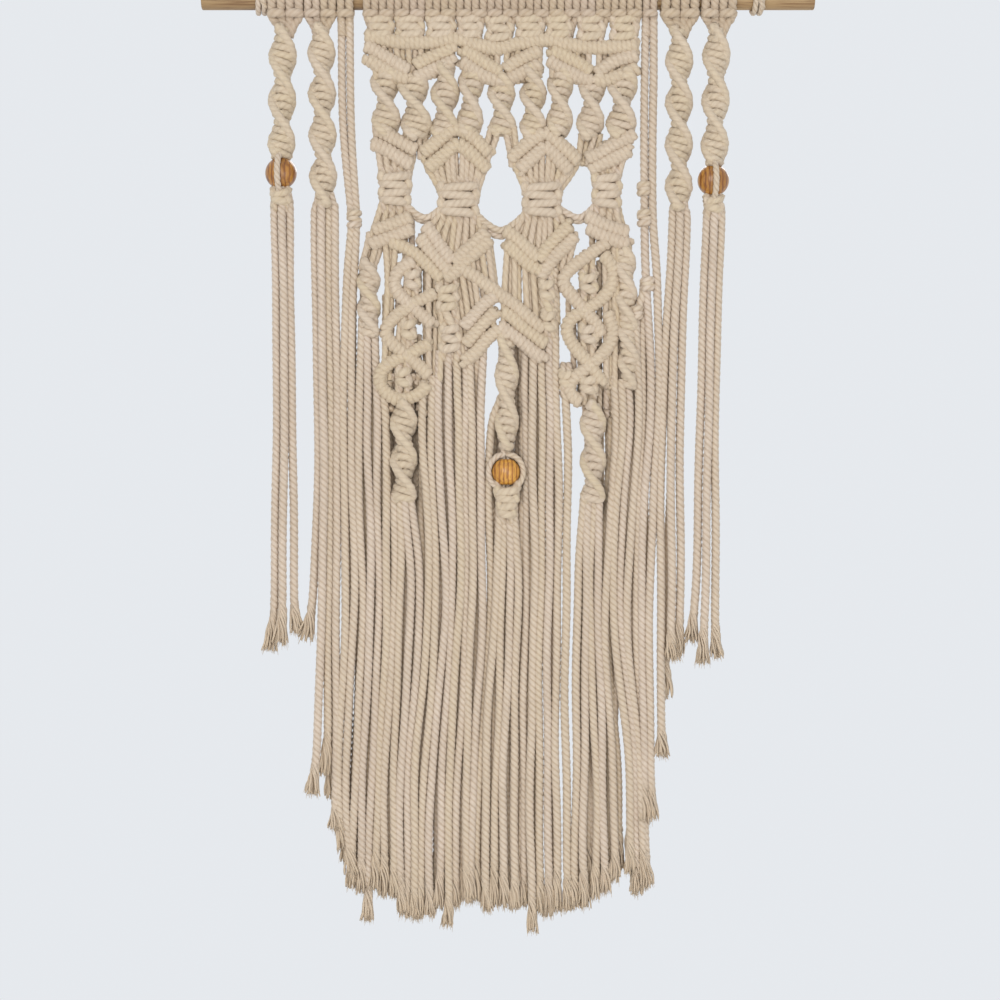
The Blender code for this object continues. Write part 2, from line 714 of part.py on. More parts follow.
def make_pair(place, collection, cutters):
    """Two plain cords, knotted together here and there."""
    piece, first, last, cords = place
    solids = [sleeve(first, last, cords)]
    for x, z, width, height in PAIR_KNOTS[piece]:
        solids.append(knot(x, z + height / 2, z - height / 2, width, width, 2,
                           PAIR_KNOT_DEPTH))
    for points in PAIR_STRANDS[piece]:
        solids.append(strand(points))
    return fused(piece, solids, SIDE_KEPT_SHARE, collection, cutters)


def main():
    for old in list(bpy.data.objects):
        bpy.data.objects.remove(old)
    collection = bpy.data.collections.new("macrame_wall_hanging")
    cutters = bpy.data.collections.new("joined_pieces")
    bpy.context.scene.collection.children.link(collection)
    bpy.context.scene.collection.children.link(cutters)
    make_dowel(collection)
    make_hanger(collection)
    for name, x in HANGER_WRAPS:
        make_wrap(name, x, collection)
    make_panel(collection, cutters)
    for place in SLEEVES[1:]:
        if place[0].startswith("sinnet"):
            make_side_sinnet(place, collection, cutters)
        else:
            make_pair(place, collection, cutters)
    for owner, name, x, z, radius, lane in SIDE_BEADS:
        make_bead(name, x, z, radius, collection)
    x, z, radius = BEAD_MIDDLE
    make_bead("bead_middle", x, z, radius, collection)
    for piece in collection.objects:
        piece.location.z -= HANGER_RISE * MM


main()
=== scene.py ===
"""The looks of a macrame wall hanging: cotton rope, a wooden dowel and three wooden beads.

Places in the tables are in millimetres from the middle of the dowel's axis: x to the right,
y away from the viewer and z upwards. The hanging faces -Y. The world origin is the highest
point of the hanger cord, HANGER_RISE above the dowel's axis.
"""
import math
import random

import bpy
import numpy as np
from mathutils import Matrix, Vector


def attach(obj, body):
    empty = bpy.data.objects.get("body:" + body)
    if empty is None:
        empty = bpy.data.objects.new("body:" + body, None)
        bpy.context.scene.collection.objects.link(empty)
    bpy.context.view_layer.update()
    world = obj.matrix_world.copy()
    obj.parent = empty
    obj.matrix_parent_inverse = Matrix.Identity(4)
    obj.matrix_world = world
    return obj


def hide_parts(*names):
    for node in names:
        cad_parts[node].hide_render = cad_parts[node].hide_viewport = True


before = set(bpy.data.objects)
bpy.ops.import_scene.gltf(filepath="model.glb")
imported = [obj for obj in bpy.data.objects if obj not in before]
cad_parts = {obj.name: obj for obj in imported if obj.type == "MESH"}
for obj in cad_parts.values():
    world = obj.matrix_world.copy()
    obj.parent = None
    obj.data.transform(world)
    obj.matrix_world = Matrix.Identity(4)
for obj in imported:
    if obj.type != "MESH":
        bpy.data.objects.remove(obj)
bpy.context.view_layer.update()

MM = 0.001
HANGER_RISE = 108.0

# ---------------------------------------------------------------- sizes

DOWEL_LENGTH = 491.0
DOWEL_RADIUS = 8.5
DOWEL_EASE = 0.9
BEAD_BORE = 4.4
PANEL_Y = -5.0

# The thickness of the rope, which has three plies, by where it runs. A knot draws it tight.
CORD = 7.0
TIGHT_CORD = 6.0
KNOT_CORD = 7.0
WRAP_CORD = 6.6
SPIRAL_CORD = 6.9
FAN_CORD = 5.6
BEAD_CORD = 5.0
BORE_CORD = 3.2
HANGER_CORD = 4.6
# The cords inside a spiral sinnet, as one.
SPIRAL_CORE = 9.4
# The height of one turn of a ply, in a free cord and in the wraps of a bar.
LAY = 14.4
WRAP_LAY = 9.0
# The steps along a cord, along one that lies behind, and along a bar's wraps.
STEP = 1.8
LONG_STEP = 2.4
WRAP_STEP = 1.3
# Each ply as points of the rope's outline: degrees from its crest, share of the radius. Cords
# that lie behind or close together have two points a ply.
GROOVE = 0.82
PLY = ((-26.0, 1.0), (26.0, 1.0), (60.0, GROOVE))
PLAIN_PLY = ((0.0, 1.0), (60.0, GROOVE))
# The grooves of a cord in a knot, in a bar, in a fan of cords and in the taut hanger.
TIGHT_GROOVE = 0.92
WRAP_GROOVE = 0.93
FAN_GROOVE = 0.89
HANGER_GROOVE = 0.80

# An open end, for a strand in front and one behind: how many loose locks and fine fibres it
# has, and what the thickness of its locks is multiplied by.
FRONT_BRUSH = (22, 30, 1.0)
BACK_BRUSH = (11, 8, 1.3)
BRUSH_STEP = 3.0
# The shortest and the longest open end, and how many of the cord's steps its locks reach back.
SHORT_FRAY = 17.0
LONG_FRAY = 31.0
OVERLAP = 4
# Above it the cord is drawn in to a share of its thickness, and its colour grows warmer.
NECK = 0.72
NECK_TAPER = 22.0
WARMTH = 0.25
WARM_REACH = 18.0
# The angle from lock to lock that fills a round evenly.
GOLDEN_ANGLE = 2.39996
# The room for the random start of a cord's fibre pattern.
PATTERN = 500

# The height of a half knot in a spiral sinnet, its depth, and its inset from the edge cords.
HALF_KNOT = 6.6
SPIRAL_DEPTH = 3.1
SPIRAL_INSET = 1.8
# How far a square knot's inner cords reach past it.
LEAD = 6.5
# The pitch of a bar's wraps, the step of their helix along the bar, and how far forward a bar is.
WRAP_PITCH = 3.9
FINE = 0.2
BAR_AWAY = 2.2
# The step along a bar's middle or a fan's edge, and how many steps each way round a bar's bends.
EDGE_STEP = 0.5
BEND = 6
# How far the two layers of a fan lie from the panel's middle, and the short cords behind it.
WEB_AWAY = 1.2
RUNS_AWAY = 4.6
# How far behind the middle the strands between the others hang, and those of BACK_STRANDS.
BETWEEN_AWAY = 5.4
BACK_AWAY = 6.4
# How far forward the root of a strand behind the others is tucked, and over what height.
TUCK = 5.5
TUCK_REACH = 22.0
# How far a sinnet that ends below LOW_FOOT, or a bead, pushes it back, and over what height
# that fades.
PUSH = 8.5
PUSH_EASE = 18.0
LOW_FOOT = -250
# A hanging strand sways fully from SWAY_EASE below its root, in waves: axis, how far, how long
# a radian of the wave is, and how many times the strand's own lag shifts it.
SWAY_EASE = 60.0
SWAYS = (
    (0, 1.0, 51.0, 1),
    (0, 0.5, 21.0, 3),
    (1, 0.5, 43.0, 2),
    (1, 0.3, 17.0, 0),
)

# One half knot. The places of the cord that goes over the front and of the one that goes
# behind: share of the half width, millimetres past it, share of the depth and of the height.
OVER = (
    (1.0, 0, -0.20, 0.34),
    (0.62, 0, -0.94, 0.13),
    (0.0, 0, -1.06, 0.0),
    (-0.62, 0, -0.90, -0.10),
    (-0.97, 0, -0.05, -0.28),
)
UNDER = (
    (-1.0, 0, -0.30, 0.42),
    (-1.0, -0.8, -0.70, 0.06),
    (-0.84, 0, 0.55, -0.16),
    (0.0, 0, 1.0, -0.10),
    (0.72, 0, 0.80, -0.20),
    (0.98, 0, 0.05, -0.44),
)
# A cord that only passes on its side.
PASSES = ((1.0, 0, 0, 0),)

# ---------------------------------------------------------------- places

# Folded ropes hitched on the dowel: first x, last x and how many.
HITCHES = {
    "panel": (-115.6, 107, 18),
    "sinnet_far_left": (-192, -163.4, 2),
    "sinnet_near_left": (-162.8, -137.2, 2),
    "pair_left": (-136.6, -123.6, 1),
    "pair_right": (107.6, 119, 1),
    "sinnet_near_right": (122.4, 152.6, 2),
    "sinnet_far_right": (154.4, 182.4, 2),
}

# Square knots under the panel's hitches, one for two ropes: x, foot z, width at the top, width
# at the foot.
HEAD_TOP = -14.6
HEAD_KNOTS = (
    (-102, -33, 23, 22.6), (-78.4, -33, 25, 24.6), (-53.6, -33, 24.6, 24.2), (-30.4, -33, 22, 21.4),
    (-6.8, -36, 23.2, 23), (17.8, -33, 24, 23.6), (40.8, -33, 22, 21.6), (66.4, -35, 23.2, 23),
    (93.2, -35, 24.4, 23.6),
)
# Other square knots tied round a bundle: x, top z, foot z, width at the top, width at the foot,
# half knots, depth.
SQUARE_KNOTS = (
    # the gathering knots
    (-90.4, -141, -166, 28, 26, 4, 6),
    (-39.6, -149, -175, 35, 33, 4, 6.2),
    (27.4, -149, -175, 33, 32, 4, 6.2),
    (78.8, -142, -168, 25, 24, 4, 6),
    # inside the lattices
    (-76.4, -218, -234, 14, 14, 2, 5),
    (-80, -258, -274, 14, 14, 2, 5),
    (-83.4, -296, -312, 14, 14, 2, 5),
    (64.4, -221, -237, 16, 16, 2, 5),
    (64.4, -262, -277, 16, 16, 2, 5),
    (64.4, -303, -317, 16, 16, 2, 5),
    # beside the gable
    (-48.6, -230, -251, 20, 18.5, 3, 5),
    (-45.6, -262, -284, 17, 20, 3, 5),
    (31, -226, -243, 14, 14, 2, 4.8),
    (33, -251, -268, 13.5, 13.5, 2, 4.8),
    (46.4, -299, -312, 12.5, 12.5, 2, 4.4),
    # under the middle bead
    (-1, -392, -416, 23, 15, 4, 5),
)

# Rows of double half hitches: for each group, how wide its rows are, and their centre lines as
# x, z points.
HITCH_ROWS = {
    "wave": (13, (
        ((-114, -31), (-102, -33), (-92, -35), (-75, -36), (-61, -36), (-48, -34), (-38, -34),
         (-26, -38), (-15, -40), (-6, -41), (3, -38), (15, -36), (27, -34), (38, -35), (49, -38),
         (64, -40), (82, -40), (97, -39), (104, -38)),
    )),
    "vees": (12.8, (
        ((-114, -38), (-104, -44), (-94, -50), (-86, -55), (-78, -60)),
        ((-114, -48), (-106, -53), (-96, -59), (-88, -63), (-78, -66)),
        ((-74, -55), (-66, -50), (-56, -46), (-48, -42), (-42, -41)),
        ((-75, -65), (-66, -61), (-56, -56), (-49, -53), (-42, -50)),
        ((-38, -41), (-30, -45), (-21, -51), (-13, -56), (-6, -60)),
        ((-38, -50), (-30, -56), (-21, -62), (-13, -65), (-5, -67)),
        ((-2, -58), (6, -52), (14, -48), (22, -44), (26, -42)),
        ((-4, -67), (6, -63), (14, -59), (22, -55), (26, -52)),
        ((33, -42), (42, -45), (51, -50), (60, -55), (67, -61)),
        ((33, -50), (40, -55), (50, -60), (58, -64), (67, -67)),
        ((71, -61), (80, -54), (88, -50), (96, -48), (104, -46)),
        ((69, -67), (80, -66), (90, -62), (98, -59), (104, -56)),
    )),
    "roofs": (13, (
        ((-106, -105), (-93, -112), (-85, -116), (-74, -122)),
        ((-109, -116), (-98, -121), (-90, -126), (-78, -134)),
        ((-70, -125), (-62, -120), (-54, -113), (-46, -107), (-40, -105), (-30, -110), (-22, -118),
         (-14, -126)),
        ((-65, -137), (-56, -130), (-47, -122), (-40, -117), (-30, -124), (-22, -132), (-17, -138)),
        ((2, -129), (10, -122), (18, -115), (26, -110), (30, -108), (42, -118), (50, -125), (57, -132)),
        ((8, -139), (14, -133), (22, -126), (30, -119), (38, -126), (44, -133), (49, -139)),
        ((63, -129), (71, -126), (78, -122), (88, -116), (101, -110)),
        ((66, -138), (78, -132), (88, -127), (99, -121)),
    )),
    "shoulders": (12.8, (
        ((-107, -186), (-91, -181), (-77, -175)),
        ((-110, -198), (-104, -195), (-90, -190), (-77, -185)),
        ((62, -174), (77, -182), (96, -188)),
        ((64, -184), (78, -191), (98, -198)),
    )),
    "valleys": (12.8, (
        ((-66, -182), (-59, -192), (-52, -202), (-45, -211)),
        ((-70, -190), (-65, -199), (-59, -206), (-53, -213), (-46, -220)),
        ((-44, -213), (-38, -207), (-32, -201), (-24, -194), (-16, -186)),
        ((-52, -225), (-46, -222), (-39, -216), (-32, -209), (-24, -202), (-15, -193)),
        ((-2, -186), (6, -192), (12, -198), (20, -205), (26, -211)),
        ((-2, -196), (6, -203), (12, -209), (18, -214), (26, -219)),
        ((26, -210), (30, -202), (37, -194), (43, -188), (51, -181)),
        ((26, -223), (32, -214), (38, -206), (45, -200), (53, -191)),
    )),
    "gable": (12.4, (
        ((-36, -264), (-27, -254), (-19, -245), (-10, -238)),
        ((-35, -278), (-27, -269), (-19, -260), (-9, -250)),
        ((-38, -292), (-26, -284), (-18, -274), (-7, -265)),
        ((-38, -216), (-26, -223), (-18, -229), (-9, -236), (0, -242), (10, -250), (19, -258),
         (29, -266)),
        ((-6, -250), (3, -255), (10, -262), (19, -269), (30, -277)),
        ((-7, -262), (3, -269), (11, -275), (19, -282), (30, -290)),
    )),
    "lattices": (12, (
        # the left lattice
        ((-94, -195), (-80, -201), (-70, -208), (-60, -218), (-52, -226)),
        ((-74, -211), (-82, -214), (-89, -221), (-91, -227), (-88, -236), (-80, -244), (-72, -251),
         (-64, -258), (-59, -263)),
        ((-58, -236), (-66, -240), (-76, -245), (-86, -252), (-94, -259), (-98, -267), (-94, -275),
         (-86, -282), (-76, -290), (-68, -297), (-63, -303)),
        ((-61, -277), (-70, -280), (-78, -285), (-91, -290), (-100, -297), (-103, -305), (-99, -314),
         (-89, -321), (-78, -320), (-69, -315), (-64, -308)),
        # the right lattice
        ((79, -196), (63, -207), (50, -217), (44, -228), (56, -244), (69, -259), (75, -271)),
        ((76, -205), (84, -217), (82, -232), (72, -243), (58, -252), (50, -257), (47, -267), (53, -279),
         (65, -293), (76, -309)),
        ((80, -252), (84, -268), (78, -282), (61, -298), (52, -305), (49, -315), (58, -324)),
    )),
}

# Cords that cross in a sinnet's waist: x, z, width at the top, then the same at the foot.
WAISTS = (
    (-48, -249, 11.5, -46, -264, 10.5),
    (31, -241, 8.5, 33, -253, 8.5),
)

# Spiral sinnets of half knots, by piece: x at the top, x at the foot, top z, foot z, width,
# z of the first bulge, height from bulge to bulge.
SPIRALS = {
    "panel": (
        # the short sinnets between the first bars and the second
        (-99, -97, -58, -110, 24, -97, 30),
        (-77, -72, -62, -113, 26, -101, 32),
        (-50, -51, -54, -111, 24, -105, 29),
        (-29, -31, -58, -110, 22, -98, 32),
        (-6, -4, -62, -110, 23, -104, 28),
        (20, 20, -54, -112, 22.5, -103, 26),
        (42, 41, -58, -110, 22, -98, 29),
        (68, 65, -62, -113, 23, -100, 30),
        (92, 90, -58, -112, 25, -101, 31),
        # the columns beside the lattices, and the tails
        (-112, -111, -210, -271, 20, -226, 22),
        (93, 97, -200, -312, 19, -212, 26),
        (-83.5, -83.5, -322, -403, 23, -339, 30),
        (-1, -1, -266, -361, 20, -302, 37),
        (68, 68, -323, -404, 22, -341, 30),
    ),
    "sinnet_far_left": ((-180, -181.4, -23, -129, 23, -45.6, 35),),
    "sinnet_near_left": ((-149.6, -147.6, -22, -167, 23, -43, 33),),
    "sinnet_near_right": ((137, 136.4, -24, -170, 23, -51, 33.5),),
    "sinnet_far_right": ((167, 165, -23, -134, 23, -47, 36),),
}

# Cords that lie side by side between two knots or bars: cords, then the upper edge and the
# lower edge, each as x, z of its two ends.
WEBS = (
    (14, (-113, -34, -42, -36), (-108, -62, -43, -60)),
    (7, (-38.8, -36, -6.2, -42), (-37, -60, -6.2, -68)),
    (7, (-3, -42, 28, -36), (-3, -68, 27, -60)),
    (7, (32, -36, 67, -42), (33, -60, 67, -68)),
    (7, (70.4, -42, 105, -38), (70.4, -68, 102, -62)),
    (9, (-108, -104, -76, -119), (-102, -144, -79, -144)),
    (8, (-66, -122, -41, -104), (-54, -152, -40, -152)),
    (8, (-38, -104, -16, -122), (-38, -152, -25, -152)),
    (7, (5, -126, 30, -106), (14, -153, 28, -153)),
    (7, (32, -106, 54, -126), (30, -153, 41, -153)),
    (9, (64, -124, 100, -108), (68, -144, 89, -144)),
    (4, (-84, -110, -64, -110), (-84, -122, -62, -128)),
    (4, (56, -112, 76, -112), (54, -130, 70, -132)),
    (2, (-70, -126, -62, -134), (-57, -153, -50, -153)),
    (2, (-22, -134, -14, -126), (-28, -153, -23, -153)),
    (2, (3, -129, 10, -138), (12, -153, 18, -153)),
    (2, (48, -140, 57, -132), (38, -153, 43, -153)),
    (2, (-81, -134, -74, -124), (-84, -144, -78, -144)),
    (9, (-102, -163, -79, -163), (-113, -198, -77, -186)),
    (7, (-55, -172, -41, -172), (-72, -192, -46, -222)),
    (7, (-38, -172, -24, -172), (-45, -222, -16, -194)),
    (7, (13, -172, 27, -172), (-2, -198, 25, -222)),
    (7, (29, -172, 42, -172), (26, -222, 53, -193)),
    (8, (69, -166, 89, -166), (64, -186, 99, -200)),
    (3, (-15.6, -106, -6, -106), (-24, -137, -15, -128)),
    (3, (-4, -106, 6.4, -106), (1, -130, 11, -140)),
    (4, (-113, -190, -100, -197), (-119, -214, -105, -214)),
    (3, (-100, -196, -88, -192), (-97, -236, -92, -236)),
    (7, (-48, -222, -18, -206), (-38, -288, -9, -262)),
    (2, (-18, -196, -13, -198), (-13, -234, -8, -240)),
    (4, (-2, -196, 10, -211), (-6, -262, 12, -276)),
    (4, (12, -212, 25, -224), (14, -278, 29, -290)),
    (3, (-82, -208, -70, -214), (-84, -240, -74, -244)),
    (3, (-86, -246, -76, -252), (-90, -278, -78, -284)),
    (3, (-90, -286, -80, -292), (-90, -316, -79, -318)),
    (3, (-66, -224, -51, -228), (-66, -300, -52, -302)),
    (3, (47, -196, 55, -190), (42, -216, 50, -212)),
    (2, (33, -218, 41, -214), (33, -262, 42, -256)),
    (3, (86, -198, 98, -200), (86, -262, 92, -262)),
    (3, (60, -212, 69, -206), (59, -252, 69, -246)),
    (3, (60, -256, 69, -250), (59, -290, 69, -294)),
    (3, (60, -298, 69, -294), (60, -322, 69, -322)),
    (3, (76, -202, 86, -204), (77, -306, 87, -308)),
    (2, (-98, -228, -91, -228), (-101, -304, -93, -304)),
)

# Short cords that run down behind the lattices: x, top z and foot z of each run.
BACK_RUNS = (
    (-98.5, -240, -330), (-93.5, -213, -242), (-93.5, -252, -298), (-93.5, -309, -330),
    (-88, -188, -203), (-88, -233, -260), (-88, -272, -298), (-88, -310, -330), (-82.5, -188, -219),
    (-82.5, -234, -330), (-77, -186, -330), (-71.5, -200, -259), (-71.5, -270, -298),
    (-71.5, -309, -330), (-66, -212, -330), (-60.5, -218, -330), (-55, -224, -300), (44.5, -196, -226),
    (50, -200, -220), (48.5, -228, -262), (52.6, -262, -322), (58, -235, -324), (62, -206, -330),
    (67.5, -190, -330), (73.2, -186, -206), (73.2, -215, -330), (79, -188, -330), (84.5, -190, -330),
    (90, -196, -330),
)
# A run that ends below this height ends forward, between the strands of the fringe.
TAIL_TOP = -320.0

# Cords that cross between the binding knots: x, z points. A second cord lies under each, lower
# by LINK_DROP, or by half of it above LINK_FOOT.
LINK_DROP = 4.4
LINK_FOOT = -178
LINKS = (
    ((-30, -168), (-18, -180), (-6, -186), (6, -180), (18, -168)),
    ((-86, -160), (-75, -172), (-66, -176), (-59, -173), (-50, -165)),
    ((37, -166), (48, -173), (56, -176), (64, -172), (74, -161)),
)

# The panel's hanging strands: x and z of the root, x at three heights, z of the end, y.
FRINGE_HEIGHTS = (-354, -482, -618)
FRINGE = (
    (-116.6, -256, -120, -115.6, -122.8, -710, -5),
    (-112.6, -256, -113.2, -108.8, -116.8, -712, -5.6),
    (-107.2, -256, -104.8, -102.8, -109.6, -737, -4.6),
    (-100.8, -306, -96.8, -97.6, -103.2, -712, -5.4),
    (-91, -396, -94, -92, -97.6, -717, -4.8),
    (-86.8, -396, -88.4, -85.6, -91.2, -718, -5.2),
    (-82.8, -399, -82.8, -78.8, -84.8, -731, -5.8),
    (-78.4, -396, -77.2, -71.2, -78.8, -734, -4.6),
    (-68, -306, -68, -64, -73.2, -735, -5.4),
    (-60.8, -302, -60.8, -57.6, -67.2, -735, -4.8),
    (-55.2, -282, -55.2, -50.8, -60.4, -734, -5.3),
    (-48, -282, -48, -43.6, -53.2, -728, -4.7),
    (-40.8, -282, -40.4, -38, -46.8, -741, -5.6),
    (-34.4, -272, -33.6, -33.6, -40.4, -726, -3.9),
    (-30.6, -284, -30, -28.4, -33.2, -722, -5.2),
    (-19.8, -276, -21.2, -21.4, -27.2, -721, -4.4),
    (-5, -318, -14, -15.2, -22.4, -721, -1.6),
    (-6.2, -404, -10.4, -10.4, -16.8, -729, -5.2),
    (-2.6, -404, -4, -4.8, -10, -726, -4.6),
    (1, -404, 2, 1.2, -2.8, -726, -5.4),
    (4.4, -404, 8, 7.6, 5.2, -728, -4.8),
    (14.4, -266, 13.6, 14.4, 12.8, -726, -1.8),
    (20.8, -268, 20, 20.4, 18.8, -746, -5.6),
    (27.2, -264, 26.4, 26.4, 24.8, -731, -4.6),
    (32.8, -264, 32.8, 32.8, 31.6, -733, -5.4),
    (37.4, -216, 39.2, 39.2, 38.8, -729, -4.8),
    (45.6, -303, 46.8, 46.4, 46.8, -729, -5.2),
    (61, -396, 57.6, 56.4, 53.6, -726, -4.8),
    (64.6, -396, 63.2, 61.6, 61.2, -726, -5.4),
    (68.8, -400, 68.8, 66.4, 69.6, -719, -4.6),
    (73, -396, 74.4, 71.2, 76.4, -714, -5.2),
    (84.8, -302, 85.4, 78.4, 83.6, -705, -4.6),
    (90.8, -305, 91.2, 84.4, 96, -699, -5.4),
    (96, -305, 97.2, 90, 100.8, -716, -3.8),
    (102.4, -254, 103.2, 95.8, 105.2, -710, -4.8),
    (108.6, -229, 108, 101.4, 109.6, -710, -2.6),
)
# The pieces that they make up: name, number of the first strand and of the one after the last.
FRINGE_PIECES = (
    ("fringe_left", 0, 12),
    ("fringe_middle", 12, 24),
    ("fringe_right", 24, 36),
)
# A strand hangs behind each gap between two of these, but not behind the gap that follows one
# of these rows of FRINGE, counted from 0, so that the hanging stays open there.
OPEN_AFTER = (15, 23, 25, 26)
# It starts at the root of the lower of the two, or of the higher if that is below this height.
LOWEST_ROOT = -390.0
# More strands that hang behind the others: x and z of the root, x at the second of the fringe's
# heights, x and z of the end.
BACK_STRANDS = (
    (-141, -186, -141, -144, -640),
    (-124.5, -186, -127.4, -131, -690),
    (-116, -216, -118.4, -125, -704),
    (-108, -262, -107, -115, -716),
    (-97.5, -310, -95.5, -105.5, -700),
    (-92.2, -300, -90.2, -100.2, -704),
    (-87, -300, -85, -95, -716),
    (-81.6, -300, -79.6, -89.6, -708),
    (-76.4, -300, -74.4, -84.4, -722),
    (-71.2, -300, -69.2, -79.2, -718),
    (-6, -322, -13, -15, -716),
    (-2.4, -322, -7.8, -9.8, -716),
    (-4.6, -262, -2.6, -4.6, -712),
    (0.6, -262, 2.6, 0.6, -718),
    (5.8, -266, 7.8, 5.8, -710),
    (11, -266, 13, 11, -712),
    (64, -330, 66, 64, -706),
    (69, -330, 71, 69, -712),
    (74.2, -300, 76.2, 74.2, -702),
    (79.4, -300, 81.4, 79.4, -708),
    (84.6, -300, 86.6, 84.6, -700),
    (102, -262, 99, 104, -706),
    (111, -228, 111.4, 113, -648),
    (134, -190, 127, 128.6, -560),
)

# Hanging cords of the four sinnets, by piece: z of the roots, and for each cord x of the root,
# x half way, x and z of the end, y.
SIDE_STRANDS = {
    "sinnet_far_left": (-158, (
        (-186.8, -185, -189.6, -520, -4.6),
        (-180.6, -178.8, -181.8, -516, -7.4),
        (-174.6, -172.6, -169.8, -507, -4.4),
    )),
    "sinnet_near_left": (-164, (
        (-154.4, -152.2, -160.4, -512, -4.6),
        (-149, -147.6, -158.6, -635, -8.6),
        (-143.8, -143, -146.2, -620, -4.8),
        (-138.4, -137, -139.4, -665, -4.6),
    )),
    "sinnet_near_right": (-168, (
        (131, 122.2, 123.4, -606, -5),
        (136.8, 130.6, 129.6, -528, -7),
        (142.6, 137.8, 136.8, -524, -4.8),
    )),
    "sinnet_far_right": (-166, (
        (158.8, 153.2, 146.8, -514, -4.6),
        (164.6, 159.4, 155, -531, -7.2),
        (170.4, 165.6, 166.2, -526, -4.6),
    )),
}

# Plain pairs of cords: their overhand knots as x, z, width, height, and their routes as x, z
# points. A route that ends below FREE_END hangs free.
PAIR_KNOTS = {
    "pair_left": (
        (-123, -177, 13, 15),
    ),
    "pair_right": (
        (108.6, -152.6, 12, 12), (109.2, -176, 13, 14), (111.6, -229, 13, 12), (102.4, -252, 12, 12),
    ),
}
PAIR_STRANDS = {
    "pair_left": (
        ((-133.2, -12), (-132, -100), (-125.4, -172)),
        ((-126.6, -12), (-125.6, -100), (-121.4, -172)),
        ((-124.8, -180), (-130, -242), (-131, -354), (-130.4, -480), (-135.4, -618), (-132, -679)),
        ((-121.4, -180), (-124, -242), (-125, -354), (-123.6, -480), (-129, -618), (-126, -699)),
    ),
    "pair_right": (
        ((110.2, -12), (108.9, -100), (109.2, -178)),
        ((116.4, -12), (115.4, -100), (115.4, -172), (120.4, -232), (120.6, -322), (115.6, -402),
         (113.2, -480), (114.8, -618), (116, -656)),
        ((109.2, -174), (109.8, -229), (113.8, -290), (113.4, -340), (109.4, -410), (107, -480),
         (108.4, -618), (110, -659)),
        ((109.6, -231), (106.2, -242), (102.6, -256)),
    ),
}
FREE_END = -500

# Beads: name, piece that carries it, x, z, radius, x of the cord in front, or None where the
# cords go round it.
BEADS = (
    ("bead_left", "sinnet_far_left", -181.6, -140.2, 12.6, -183.4),
    ("bead_right", "sinnet_far_right", 164.2, -146, 12.6, 165.4),
    ("bead_middle", "panel", -1.6, -379.2, 11.2, None),
)

# One half of the hanger cord's route, from a wrap to the hanging point: x, z. Then its wraps
# round the dowel, each with its middle x.
HANGER_ROUTE = (
    (198, 14.1), (185, 21), (160, 33.5), (130, 48.5), (100, 63.5), (75, 75.9), (50, 88.2), (32, 96.9),
    (20, 102.3), (11, 105.9), (0, 108),
)
HANGER_WRAPS = (
    ("hanger_wrap_left", -198.2),
    ("hanger_wrap_right", 199.0),
)

# The stage, in metres. The camera looks straight at the hanging from in front, with the middle
# of its view given in millimetres like the tables, and its lens frames 800 mm at the panel.
VIEW_CENTRE = (-6.4, -401.6)
CAMERA_DISTANCE = 1.805
CAMERA_SENSOR = 36.0
CAMERA_LENS = 81.0
FLOOR_RADIUS = 1.9
FLOOR_Z = -1.36
LIGHT_AIM = (0.0, 0.0, -0.5)
# Name, place, size, power, colour.
LIGHTS = (
    ("key", (-0.6, -2.3, 0.05), 1.6, 24.0, (1.0, 0.98, 0.95)),
    ("fill", (0.9, -2.0, -0.95), 1.6, 11.0, (0.97, 0.98, 1.0)),
    ("rim", (0.4, 1.6, 0.6), 1.2, 12.0, (1.0, 1.0, 1.0)),
)
SKY = (0.93, 0.96, 1.0)
SKY_STRENGTH = 0.85

# Wood, dark and pale, by what is made of it.
DOWEL_WOOD = ((0.24, 0.145, 0.065), (0.42, 0.275, 0.125))
OUTER_BEAD_WOOD = ((0.27, 0.11, 0.014), (0.50, 0.23, 0.038))
MIDDLE_BEAD_WOOD = ((0.48, 0.21, 0.025), (0.71, 0.37, 0.060))

# ---------------------------------------------------------------- materials

def shader(name, roughness):
    """A new material, its node tree and its Principled shader."""
    material = bpy.data.materials.new(name)
    material.use_nodes = True
    tree = material.node_tree
    principled = tree.nodes["Principled BSDF"]
    feed(tree, principled, {"Roughness": roughness})
    return material, tree, principled


def feed(tree, node, inputs):
    """Sets a node's inputs, each to a value or to the socket that it is linked to."""
    for name, value in inputs.items():
        socket = node.inputs[name]
        if isinstance(value, bpy.types.NodeSocket):
            tree.links.new(value, socket)
        elif socket.type == "RGBA":
            socket.default_value = (*value, 1.0)
        else:
            socket.default_value = value


def added(tree, kind, inputs):
    """A new node of a kind, with its inputs set."""
    node = tree.nodes.new("ShaderNode" + kind)
    feed(tree, node, inputs)
    return node


def object_places(tree):
    """The socket of places on the object."""
    return added(tree, "TexCoord", {}).outputs["Object"]


def mixed(tree, share, first, second, blend="MIX"):
    """A colour between two colours. Each of the three is a socket or a value."""
    mix = tree.nodes.new("ShaderNodeMix")
    mix.data_type = "RGBA"
    mix.blend_type = blend
    feed(tree, mix, {0: share, 6: first, 7: second})
    return mix.outputs[2]


def noise(tree, vector, scale, detail=2.0, stretch=(1.0, 1.0, 1.0)):
    """A noise value over a vector, stretched along its axes."""
    place = added(tree, "Mapping", {"Scale": stretch, "Vector": vector}).outputs[0]
    inputs = {"Scale": scale, "Detail": detail, "Vector": place}
    return added(tree, "TexNoise", inputs).outputs[0]


def ramp(tree, value, low, high):
    """A value stretched so that low becomes 0 and high becomes 1."""
    return added(tree, "MapRange", {"From Min": low, "From Max": high, "Value": value}).outputs[0]


def bumped(tree, principled, heights):
    """Bumps under a shader: height socket and depth in metres of each."""
    normal = {}
    for height, depth in heights:
        bump = added(tree, "Bump", {"Distance": depth, "Height": height, **normal})
        normal = {"Normal": bump.outputs[0]}
    feed(tree, principled, normal)


